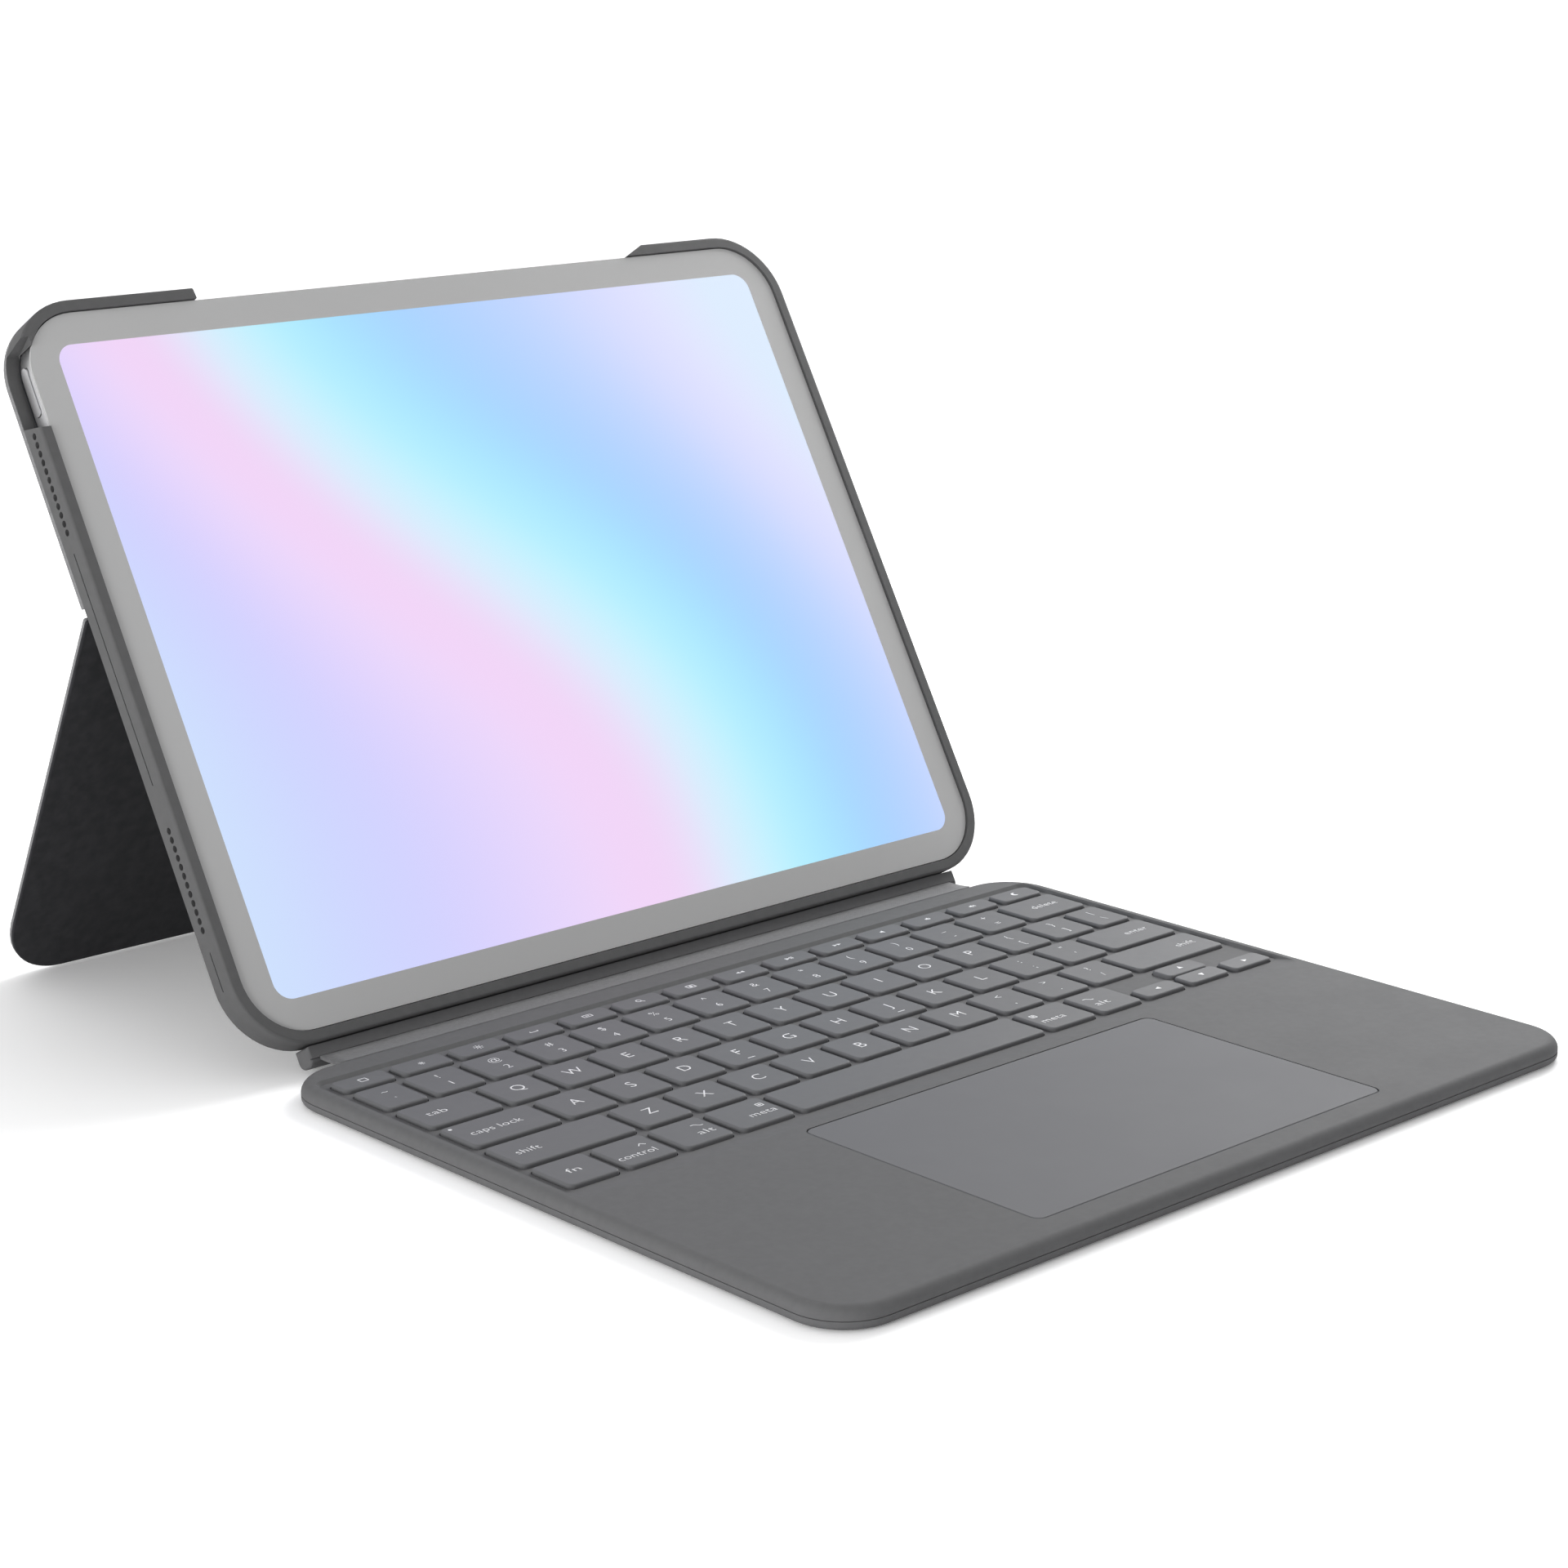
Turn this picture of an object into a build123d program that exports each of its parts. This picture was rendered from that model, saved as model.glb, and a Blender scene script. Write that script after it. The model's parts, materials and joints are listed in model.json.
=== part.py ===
from build123d import *
import math
import os

os.makedirs("parts", exist_ok=True)

# ---- keyboard deck (mm) ----
DECK_HALF_W = 143.7
DECK_DEPTH = 220.4
DECK_T = 5.8
DECK_FRONT_R = 15.7
DECK_REAR_R = 17.0
DECK_SPLIT_Z = 2.4
DECK_FLOOR_Z = 1.0
DECK_ROOF_Z = 4.0
DECK_WALL = 2.0
DECK_TOP_EDGE_R = 3.0
DECK_SEAM_CHAMFER = 0.25
DECK_BOTTOM_EDGE_R = 1.6

# ---- lean of the case, measured from the vertical, and the glass's bottom edge above the table ----
LEAN = 30.0
GLASS_GAP_Y = 14.85
GLASS_Z = 20.76

# ---- tablet ----
TABLET_HALF_W = 141.0
TABLET_H = 216.2
TABLET_T = 6.4
TABLET_R = 18.0
BEZEL = 9.6
GLASS_T = 0.8
DISPLAY_W = 262.8
DISPLAY_H = 197.0
DISPLAY_R = 5.5
DISPLAY_T = 1.6
ENCLOSURE_WALL = 3.0
ENCLOSURE_BACK = 1.0
BATTERY_INSET = 14.0
BATTERY_T = 3.4
BATTERY_R = 2.0

# ---- case ----
WALL = 3.5
SIDE_CLEARANCE = 0.3
LIP_N = 0.8
LIP_EDGE_R = 0.9
FLOOR_FRONT_N = -7.1
FLOOR_BACK_N = -8.0
LINING_T = 0.4
BACK_N = -10.4
BACK_EDGE_R = 1.2
CASE_R = 22.0
GUARD_LEFT_END_X = -80.4
GUARD_RIGHT_END_X = 84.7
GUARD_BEVEL = 7.7
SIDE_HOLE_R = 1.0
SIDE_HOLE_PITCH = 2.65
SIDE_HOLE_COUNT = 12
SIDE_HOLE_N = -3.7
SIDE_HOLE_STARTS = (172.4, 54.3)
SIDE_GROOVES = ((67.7, 137.0), (7.2, 18.8))
SIDE_GROOVE_N = -3.9
SIDE_GROOVE_W = 0.45
SIDE_GROOVE_R = 0.21
SIDE_GROOVE_DEPTH = 0.35
BUTTON_NOTCH = (176.0, 197.9)
BUTTON_NOTCH_N = -7.7
BUTTON_NOTCH_SLOPE = 2.6
NOTCH_EXTRA = 2.5
BUTTON_B = 185.3
BUTTON_N = -3.8
BUTTON_L = 14.6
BUTTON_W = 3.2
BUTTON_R = 1.55
BUTTON_PROUD = 0.3
BUTTON_T = 1.2
BUTTON_CLEARANCE = 0.15
PORT_B = 98.5
PORT_N = -3.3
PORT_W = 16.0
PORT_H = 6.0
PORT_R = 2.7
CAMERA_X = -118.0
CAMERA_B = 183.0
CAMERA_HOLE = 33.0
CAMERA_R = 9.0
CAMERA_BODY = 30.0
CAMERA_BODY_R = 7.5
CAMERA_BODY_N = -8.6
CAMERA_RING_W = 2.0
CAMERA_RING_H = 0.6

# ---- kickstand and its hinge ----
HINGE_B = 120.6
HINGE_N = -9.35
STAND_LENGTH = 134.0
STAND_HALF_W = 144.1
STAND_T = 2.1
STAND_R = 20.6
STAND_TOP_GAP = 1.6
STAND_CORE_INSET = 3.0
STAND_EDGE_R = 0.5
STAND_EDGE_CHAMFER = 0.3
PANEL_GAP = 1.7
PANEL_BEVEL = 1.0
LEAF_X = 100.0
LEAF_HALF_W = 20.0
LEAF_REACH = 11.0
LEAF_T = 0.6
KNUCKLE_R = 1.05
KNUCKLE_HALF_W = 7.7
KNUCKLE_GAP = 0.3
PIN_R = 0.5
PIN_CLEARANCE = 0.04

# ---- connector bar and the fabric hinge ----
BAR_HALF_W = 127.0
BAR_TOP_GAP = 0.3
BAR_H = 5.7
BAR_FRONT_N = -1.2
BAR_BACK_N = -8.0
BAR_BOTTOM_R = 2.4
BAR_END_R = 1.6
SEAM_B = -17.4
FABRIC_T = 0.8
FABRIC_TUCK = 1.1
FABRIC_HALF_W = 124.0
FABRIC_LEDGE = 1.8
FABRIC_SINK = 0.05
SEAM_LINE_W = 0.3
SEAM_LINE_DEPTH = 0.4
BAR_MAGNET_X = 70.0
BAR_MAGNET_W = 40.0
BAR_MAGNET_H = 3.0
MAGNET_T = 3.6
CASE_MAGNET_H = 1.6
CONTACT_PITCH = 5.0
CONTACT_R = 1.0
CONTACT_BLOCK_W = 18.0
CONTACT_N = -4.6
CONTACT_GAP = 0.1
PAD_DEPTH = 2.0
FLEX_T = 0.3
FLEX_HALF_W = 7.0
TABLET_PIN_B = -2.0

# ---- key well and keys ----
WELL_HALF_W = 138.5
WELL_REAR = 11.3
WELL_FRONT = 116.5
WELL_RAMP = 7.5
WELL_DEPTH = 1.0
WELL_WALL_RUN = 1.0
WELL_CORNER_R = 2.5
KEY_TOP_Z = 6.0
KEY_SKIRT_Z = 4.3
KEY_CEILING_Z = 5.0
KEY_SKIRT_T = 0.9
KEY_CORNER_R = 1.9
KEY_EDGE_R = 0.7
KEY_CLEARANCE = 0.3
BLOCK_HALF_W = 136.3
LETTER_PITCH = 19.34
LETTER_W = 16.9
KEY_DEPTH = 16.4
KEY_GAP = 2.45
ROW_PITCH = 18.8
FUNCTION_DEPTH = 8.1
FUNCTION_COUNT = 14
FUNCTION_FRONT = 22.0
NUMBER_FRONT = 40.7
ARROW_DEPTH = 7.9
SHALLOW_KEY = 12.0

# ---- parts under the keys ----
BASE_PLATE_TOP_Z = 1.5
MEMBRANE_TOP_Z = 2.0
SUPPORT_MARGIN = 1.0
DOME_R = 2.6
DOME_TOP_R = 1.4
SMALL_DOME_R = 1.5
SMALL_DOME_TOP_R = 0.9
LINK_BAR = 0.8
LINK_T = 0.5
LINK_W = 11.5
LINK_NEST = 1.1
LINK_RISE = 2.3
LINK_MARGIN = 2.2
SMALL_LINK_MARGIN = 1.2

# ---- trackpad and the electronics ----
PAD_HALF_W = 67.4
PAD_REAR = 126.7
PAD_FRONT = 210.0
PAD_R = 3.0
PAD_CLEARANCE = 0.25
PAD_T = 1.2
PAD_EDGE_CHAMFER = 0.3
PAD_FRAME_INSET = 4.0
PAD_FRAME_TOP_Z = 1.8
PAD_SWITCH_R = 4.0
PAD_SWITCH_TOP_R = 2.5
PAD_SWITCH_FROM_FRONT = 14.0
BOARD_X = (-132.0, -84.0)
BOARD_Y = (134.0, 168.0)
BOARD_T = 0.8
CHIP_T = 0.9
CHIPS = ((-118.0, 146.0, 12.0, 12.0), (-98.0, 144.0, 8.0, 6.0), (-100.0, 158.0, 14.0, 8.0))
FLEX_X = (-140.9, -137.6)
FLEX_Y = (5.0, 140.0)
FOAM_X = (72.0, 138.0)
FOAM_RIGHT_Y = (122.0, 214.0)
FOAM_LEFT_Y = (172.0, 214.0)
DECK_MAGNET = (124.0, 215.8, 20.0, 3.0, 2.4)

# ---- derived positions ----
LEAN_SIN = math.sin(math.radians(LEAN))
LEAN_COS = math.cos(math.radians(LEAN))
HINGE_DROP_Y = HINGE_B * LEAN_SIN - HINGE_N * LEAN_COS
HINGE_Z = GLASS_Z + HINGE_B * LEAN_COS + HINGE_N * LEAN_SIN
FOOT_REACH = math.hypot(STAND_LENGTH, STAND_T / 2)
STAND_SLOPE = math.asin(HINGE_Z / FOOT_REACH) - math.atan2(STAND_T / 2, STAND_LENGTH)
FOOT_Y = (
    GLASS_GAP_Y
    + HINGE_DROP_Y
    + STAND_LENGTH * math.cos(STAND_SLOPE)
    + STAND_T / 2 * math.sin(STAND_SLOPE)
)
# the origin is under the middle of the whole object, so the deck's rear edge sits this far behind it
REAR_Y = (DECK_DEPTH - FOOT_Y) / 2
GLASS_Y = REAR_Y + GLASS_GAP_Y
HINGE_Y = GLASS_Y + HINGE_DROP_Y

CASE_HALF_W = TABLET_HALF_W + SIDE_CLEARANCE + WALL
TABLET_BOTTOM_B = -BEZEL
TABLET_TOP_B = TABLET_BOTTOM_B + TABLET_H
BAY_HALF_W = TABLET_HALF_W + SIDE_CLEARANCE
BAY_BOTTOM_B = TABLET_BOTTOM_B - SIDE_CLEARANCE
BAY_TOP_B = TABLET_TOP_B + SIDE_CLEARANCE
BAY_R = TABLET_R + SIDE_CLEARANCE
CASE_BOTTOM_B = BAY_BOTTOM_B - WALL
CASE_TOP_B = BAY_TOP_B + WALL
BAR_TOP_B = CASE_BOTTOM_B - BAR_TOP_GAP
BAR_BOTTOM_B = BAR_TOP_B - BAR_H

CASE_FRAME = Plane(origin=(0, GLASS_Y, GLASS_Z), x_dir=(1, 0, 0), z_dir=(0, -LEAN_COS, LEAN_SIN))
STAND_FRAME = Plane(
    origin=(0, HINGE_Y, HINGE_Z),
    x_dir=(1, 0, 0),
    z_dir=(0, math.sin(STAND_SLOPE), math.cos(STAND_SLOPE)),
)


def layer(n):
    """The plane parallel to the glass at height n above it."""
    return CASE_FRAME.offset(n)


def stand_layer(t):
    """The plane parallel to the kickstand, t outward from its hinge axis; local Y points down to the foot."""
    return STAND_FRAME.offset(t)


def side_view(x):
    """The plane across the case at x, with local X along the slope and local Y along the screen's normal."""
    return Plane(origin=CASE_FRAME.from_local_coords((x, 0, 0)), x_dir=CASE_FRAME.y_dir, z_dir=(1, 0, 0))


def edges_by_height(builder, plane):
    """The builder's edges in groups, from the lowest above the plane to the highest."""
    return builder.edges().group_by(lambda edge: round(plane.to_local_coords(edge.center()).Z, 2))


def block(low, high, radius=0.0, mode=Mode.ADD):
    """A rectangle from one corner to the other, rounded if a radius is given."""
    width = high[0] - low[0]
    height = high[1] - low[1]
    with Locations(((low[0] + high[0]) / 2, (low[1] + high[1]) / 2)):
        if radius:
            RectangleRounded(width, height, radius, mode=mode)
        else:
            Rectangle(width, height, mode=mode)


def save(builder, label):
    builder.part.label = label
    export_step(builder.part, "parts/" + label + ".step")


def deck_y(back):
    """Row position of something this far in front of the deck's rear edge."""
    return REAR_Y - back


# ---- keys: each is (left, right, rear, front), the last two counted forward from the deck's rear edge ----
def row_front(index):
    return NUMBER_FRONT + index * ROW_PITCH


def letter_keys(first_right, count, front):
    keys = []
    for i in range(count):
        right = first_right + (i + 1) * LETTER_PITCH
        keys.append((right - LETTER_W, right, front - KEY_DEPTH, front))
    return keys


def wide_left(right, front):
    return [(-BLOCK_HALF_W, right, front - KEY_DEPTH, front)]


def wide_right(left, front):
    return [(left, BLOCK_HALF_W, front - KEY_DEPTH, front)]


function_pitch = (2 * BLOCK_HALF_W + KEY_GAP) / FUNCTION_COUNT
FUNCTION_KEYS = [
    (
        -BLOCK_HALF_W + i * function_pitch,
        -BLOCK_HALF_W + (i + 1) * function_pitch - KEY_GAP,
        FUNCTION_FRONT - FUNCTION_DEPTH,
        FUNCTION_FRONT,
    )
    for i in range(FUNCTION_COUNT)
]
NUMBER_RIGHT = -122.3
UPPER_RIGHT = -111.95
HOME_RIGHT = -107.5
LOWER_RIGHT = -97.75
NUMBER_LETTERS = 12
UPPER_LETTERS = 12
HOME_LETTERS = 11
LOWER_LETTERS = 10


def after(first_right, count):
    return first_right + count * LETTER_PITCH + KEY_GAP


BOTTOM_ROW = {
    "fn_key": (-BLOCK_HALF_W, -119.5),
    "control_key": (-117.0, -100.1),
    "left_alt_key": (-97.6, -80.8),
    "left_meta_key": (-78.3, -59.3),
    "space_bar": (-56.8, 37.0),
    "right_meta_key": (39.5, 58.4),
    "right_alt_key": (60.9, 78.0),
}
ARROWS = {
    "left_arrow_key": (80.5, 97.2, "lower"),
    "up_arrow_key": (99.7, 116.8, "upper"),
    "down_arrow_key": (99.7, 116.8, "lower"),
    "right_arrow_key": (119.3, BLOCK_HALF_W, "lower"),
}

KEYS = {
    "function_keys": FUNCTION_KEYS,
    "number_keys": wide_left(NUMBER_RIGHT, row_front(0))
    + letter_keys(NUMBER_RIGHT, NUMBER_LETTERS, row_front(0)),
    "delete_key": wide_right(after(NUMBER_RIGHT, NUMBER_LETTERS), row_front(0)),
    "tab_key": wide_left(UPPER_RIGHT, row_front(1)),
    "upper_letter_keys": letter_keys(UPPER_RIGHT, UPPER_LETTERS, row_front(1))
    + wide_right(after(UPPER_RIGHT, UPPER_LETTERS), row_front(1)),
    "caps_lock_key": wide_left(HOME_RIGHT, row_front(2)),
    "home_letter_keys": letter_keys(HOME_RIGHT, HOME_LETTERS, row_front(2)),
    "return_key": wide_right(after(HOME_RIGHT, HOME_LETTERS), row_front(2)),
    "left_shift_key": wide_left(LOWER_RIGHT, row_front(3)),
    "lower_letter_keys": letter_keys(LOWER_RIGHT, LOWER_LETTERS, row_front(3)),
    "right_shift_key": wide_right(after(LOWER_RIGHT, LOWER_LETTERS), row_front(3)),
}
for name, (left, right) in BOTTOM_ROW.items():
    KEYS[name] = [(left, right, row_front(4) - KEY_DEPTH, row_front(4))]
for name, (left, right, half) in ARROWS.items():
    front = row_front(4) if half == "lower" else row_front(4) - KEY_DEPTH + ARROW_DEPTH
    KEYS[name] = [(left, right, front - ARROW_DEPTH, front)]
ALL_KEYS = [key for group in KEYS.values() for key in group]


def key_low(key):
    return (key[0], deck_y(key[3]))


def key_high(key):
    return (key[1], deck_y(key[2]))


def key_centre(key):
    return ((key[0] + key[1]) / 2, deck_y((key[2] + key[3]) / 2))


def key_pads(keys, grow, radius, mode=Mode.ADD):
    """Rounded outlines of the keys, grown by a margin."""
    for key in keys:
        low = key_low(key)
        high = key_high(key)
        block((low[0] - grow, low[1] - grow), (high[0] + grow, high[1] + grow), radius, mode)


for label, keys in KEYS.items():
    with BuildPart() as key_caps:
        with BuildSketch(Plane.XY.offset(KEY_SKIRT_Z)):
            key_pads(keys, 0, KEY_CORNER_R)
        extrude(amount=KEY_TOP_Z - KEY_SKIRT_Z)
        fillet(key_caps.edges().group_by(Axis.Z)[-1], KEY_EDGE_R)
        with BuildSketch(Plane.XY.offset(KEY_SKIRT_Z)):
            key_pads(keys, -KEY_SKIRT_T, KEY_CORNER_R - KEY_SKIRT_T)
        extrude(amount=KEY_CEILING_Z - KEY_SKIRT_Z, mode=Mode.SUBTRACT)
    save(key_caps, label)

# ---- keyboard deck ----
def deck_outline(inset):
    """The deck's outline: large soft corners, the rear pair a little larger than the front pair."""
    low = (-DECK_HALF_W + inset, deck_y(DECK_DEPTH - inset))
    high = (DECK_HALF_W - inset, deck_y(inset))
    middle = (low[1] + high[1]) / 2
    block(low, (high[0], middle + DECK_REAR_R * 2), DECK_FRONT_R - inset)
    block((low[0], middle - DECK_REAR_R * 2), high, DECK_REAR_R - inset)


with BuildPart() as deck_bottom_shell:
    with BuildSketch():
        deck_outline(0)
    extrude(amount=DECK_SPLIT_Z)
    fillet(deck_bottom_shell.edges().group_by(Axis.Z)[0], DECK_BOTTOM_EDGE_R)
    with BuildSketch(Plane.XY.offset(DECK_FLOOR_Z)):
        deck_outline(DECK_WALL)
    extrude(amount=DECK_SPLIT_Z - DECK_FLOOR_Z, mode=Mode.SUBTRACT)
save(deck_bottom_shell, "deck_bottom_shell")

well_floor_z = DECK_T - WELL_DEPTH
with BuildPart() as deck_top_cover:
    with BuildSketch(Plane.XY.offset(DECK_SPLIT_Z)):
        deck_outline(0)
    extrude(amount=DECK_T - DECK_SPLIT_Z)
    fillet(deck_top_cover.edges().group_by(Axis.Z)[-1], DECK_TOP_EDGE_R)
    chamfer(deck_top_cover.edges().group_by(Axis.Z)[0], DECK_SEAM_CHAMFER)
    with BuildSketch(Plane.XY.offset(DECK_SPLIT_Z)):
        deck_outline(DECK_WALL)
    extrude(amount=DECK_ROOF_Z - DECK_SPLIT_Z, mode=Mode.SUBTRACT)
    # the key well: sloping walls, and a long gentle ramp out to the palm rest
    with BuildSketch(Plane.XY.offset(well_floor_z)):
        block((-WELL_HALF_W, deck_y(WELL_FRONT)), (WELL_HALF_W, deck_y(WELL_REAR)), WELL_CORNER_R)
    with BuildSketch(Plane.XY.offset(DECK_T)):
        block(
            (-WELL_HALF_W - WELL_WALL_RUN, deck_y(WELL_FRONT + WELL_RAMP)),
            (WELL_HALF_W + WELL_WALL_RUN, deck_y(WELL_REAR - WELL_WALL_RUN)),
            WELL_CORNER_R + WELL_WALL_RUN,
        )
    loft(mode=Mode.SUBTRACT)
    with BuildSketch(Plane.XY.offset(DECK_ROOF_Z)):
        key_pads(ALL_KEYS, KEY_CLEARANCE, KEY_CORNER_R + KEY_CLEARANCE)
        block(
            (-PAD_HALF_W - PAD_CLEARANCE, deck_y(PAD_FRONT + PAD_CLEARANCE)),
            (PAD_HALF_W + PAD_CLEARANCE, deck_y(PAD_REAR - PAD_CLEARANCE)),
            PAD_R + PAD_CLEARANCE,
        )
    extrude(amount=DECK_T - DECK_ROOF_Z, mode=Mode.SUBTRACT)
    # ledge at the rear edge where the fabric hinge is bonded
    with BuildSketch(Plane.XY.offset(DECK_T - FABRIC_T)):
        block((-FABRIC_HALF_W, deck_y(FABRIC_LEDGE)), (FABRIC_HALF_W, deck_y(-FABRIC_LEDGE)))
    extrude(amount=2 * FABRIC_T, mode=Mode.SUBTRACT)
save(deck_top_cover, "deck_top_cover")

plate_low = (-BLOCK_HALF_W - SUPPORT_MARGIN, deck_y(row_front(4) + SUPPORT_MARGIN))
plate_high = (BLOCK_HALF_W + SUPPORT_MARGIN, deck_y(WELL_REAR + SUPPORT_MARGIN))
with BuildPart() as key_base_plate:
    with BuildSketch(Plane.XY.offset(DECK_FLOOR_Z)):
        block(plate_low, plate_high, KEY_CORNER_R)
    extrude(amount=BASE_PLATE_TOP_Z - DECK_FLOOR_Z)
save(key_base_plate, "key_base_plate")

with BuildPart() as key_membrane:
    with BuildSketch(Plane.XY.offset(BASE_PLATE_TOP_Z)):
        block(plate_low, plate_high, KEY_CORNER_R)
    extrude(amount=MEMBRANE_TOP_Z - BASE_PLATE_TOP_Z)
save(key_membrane, "key_membrane")


def is_shallow(key):
    return key[3] - key[2] < SHALLOW_KEY


dome_height = KEY_CEILING_Z - MEMBRANE_TOP_Z
dome_mid_z = (KEY_CEILING_Z + MEMBRANE_TOP_Z) / 2
with BuildPart() as key_domes:
    with Locations(*[(*key_centre(key), dome_mid_z) for key in ALL_KEYS if not is_shallow(key)]):
        Cone(DOME_R, DOME_TOP_R, dome_height)
    with Locations(*[(*key_centre(key), dome_mid_z) for key in ALL_KEYS if is_shallow(key)]):
        Cone(SMALL_DOME_R, SMALL_DOME_TOP_R, dome_height)
save(key_domes, "key_domes")


def link_depth(key):
    return key[3] - key[2] - 2 * (SMALL_LINK_MARGIN if is_shallow(key) else LINK_MARGIN)


LINKS = ((LINK_W, 1), (LINK_W - 2 * LINK_NEST, -1))
with BuildPart() as scissor_links:
    for depth in sorted({round(link_depth(key), 3) for key in ALL_KEYS}):
        centres = [(*key_centre(key), dome_mid_z) for key in ALL_KEYS if round(link_depth(key), 3) == depth]
        for width, direction in LINKS:
            tilt = direction * math.degrees(math.asin(LINK_RISE / depth))
            with Locations(*centres):
                ring = Box(width, depth, LINK_T, rotation=(tilt, 0, 0), mode=Mode.PRIVATE)
                hole_size = (width - 2 * LINK_BAR, depth - 2 * LINK_BAR, 2 * LINK_T)
                hole = Box(*hole_size, rotation=(tilt, 0, 0), mode=Mode.PRIVATE)
            add(ring - hole)
save(scissor_links, "scissor_links")

# ---- trackpad ----
with BuildPart() as trackpad_plate:
    with BuildSketch(Plane.XY.offset(DECK_T - PAD_T)):
        block((-PAD_HALF_W, deck_y(PAD_FRONT)), (PAD_HALF_W, deck_y(PAD_REAR)), PAD_R)
    extrude(amount=PAD_T)
    chamfer(trackpad_plate.edges().group_by(Axis.Z)[-1], PAD_EDGE_CHAMFER)
save(trackpad_plate, "trackpad_plate")

frame_low = (-PAD_HALF_W + PAD_FRAME_INSET, deck_y(PAD_FRONT - PAD_FRAME_INSET))
frame_high = (PAD_HALF_W - PAD_FRAME_INSET, deck_y(PAD_REAR + PAD_FRAME_INSET))
with BuildPart() as trackpad_frame:
    with BuildSketch(Plane.XY.offset(DECK_FLOOR_Z)):
        block(frame_low, frame_high, PAD_R)
    extrude(amount=PAD_FRAME_TOP_Z - DECK_FLOOR_Z)
save(trackpad_frame, "trackpad_frame")

with BuildPart() as trackpad_switch:
    switch_height = DECK_T - PAD_T - PAD_FRAME_TOP_Z
    with Locations((0, deck_y(PAD_FRONT - PAD_SWITCH_FROM_FRONT), PAD_FRAME_TOP_Z + switch_height / 2)):
        Cone(PAD_SWITCH_R, PAD_SWITCH_TOP_R, switch_height)
save(trackpad_switch, "trackpad_switch")

# ---- electronics, foam and magnets in the deck ----
with BuildPart() as controller_board:
    with BuildSketch(Plane.XY.offset(DECK_FLOOR_Z)):
        block((BOARD_X[0], deck_y(BOARD_Y[1])), (BOARD_X[1], deck_y(BOARD_Y[0])))
    extrude(amount=BOARD_T)
    with BuildSketch(Plane.XY.offset(DECK_FLOOR_Z + BOARD_T)):
        for x, back, width, depth in CHIPS:
            with Locations((x, deck_y(back))):
                Rectangle(width, depth)
    extrude(amount=CHIP_T)
save(controller_board, "controller_board")

with BuildPart() as deck_flex_cable:
    with BuildSketch(Plane.XY.offset(DECK_FLOOR_Z)):
        block((FLEX_X[0], deck_y(FLEX_Y[1])), (FLEX_X[1], deck_y(FLEX_Y[0] + DECK_REAR_R)))
        block((FLEX_X[0], deck_y(FLEX_Y[1])), (BOARD_X[0], deck_y(FLEX_Y[1] - FLEX_X[1] + FLEX_X[0])))
    extrude(amount=FLEX_T)
save(deck_flex_cable, "deck_flex_cable")

with BuildPart() as palm_rest_foam:
    with BuildSketch(Plane.XY.offset(DECK_FLOOR_Z)):
        block((FOAM_X[0], deck_y(FOAM_RIGHT_Y[1])), (FOAM_X[1], deck_y(FOAM_RIGHT_Y[0])), PAD_R)
        block((-FOAM_X[1], deck_y(FOAM_LEFT_Y[1])), (-FOAM_X[0], deck_y(FOAM_LEFT_Y[0])), PAD_R)
    extrude(amount=DECK_ROOF_Z - DECK_FLOOR_Z)
save(palm_rest_foam, "palm_rest_foam")

magnet_x, magnet_back, magnet_w, magnet_depth, magnet_t = DECK_MAGNET
with BuildPart() as deck_magnets:
    with BuildSketch(Plane.XY.offset(DECK_FLOOR_Z)):
        magnet_y = deck_y(magnet_back)
        with Locations((magnet_x - magnet_w, magnet_y), (magnet_w - magnet_x, magnet_y)):
            Rectangle(magnet_w, magnet_depth)
    extrude(amount=magnet_t)
save(deck_magnets, "deck_magnets")

# ---- fabric hinge between the deck and the connector bar ----
def case_yz(b, n):
    """Row Y and Z of a point at height b up the slope and n above the glass."""
    return (GLASS_Y + b * LEAN_SIN - n * LEAN_COS, GLASS_Z + b * LEAN_COS + n * LEAN_SIN)


seam_top = SEAM_B + FABRIC_T / 2
seam_bottom = SEAM_B - FABRIC_T / 2
with BuildPart() as hinge_fabric:
    with BuildSketch(Plane.YZ.offset(-FABRIC_HALF_W)):
        with BuildLine():
            Polyline(
                case_yz(seam_top, BAR_FRONT_N - FABRIC_TUCK),
                case_yz(seam_top, BAR_FRONT_N),
                (REAR_Y, DECK_T - FABRIC_SINK),
                (deck_y(FABRIC_LEDGE), DECK_T),
                (deck_y(FABRIC_LEDGE), DECK_T - FABRIC_T),
                (REAR_Y, DECK_T - FABRIC_T),
                case_yz(seam_bottom, BAR_FRONT_N),
                case_yz(seam_bottom, BAR_FRONT_N - FABRIC_TUCK),
                close=True,
            )
        make_face()
    extrude(amount=2 * FABRIC_HALF_W)
save(hinge_fabric, "hinge_fabric")

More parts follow.
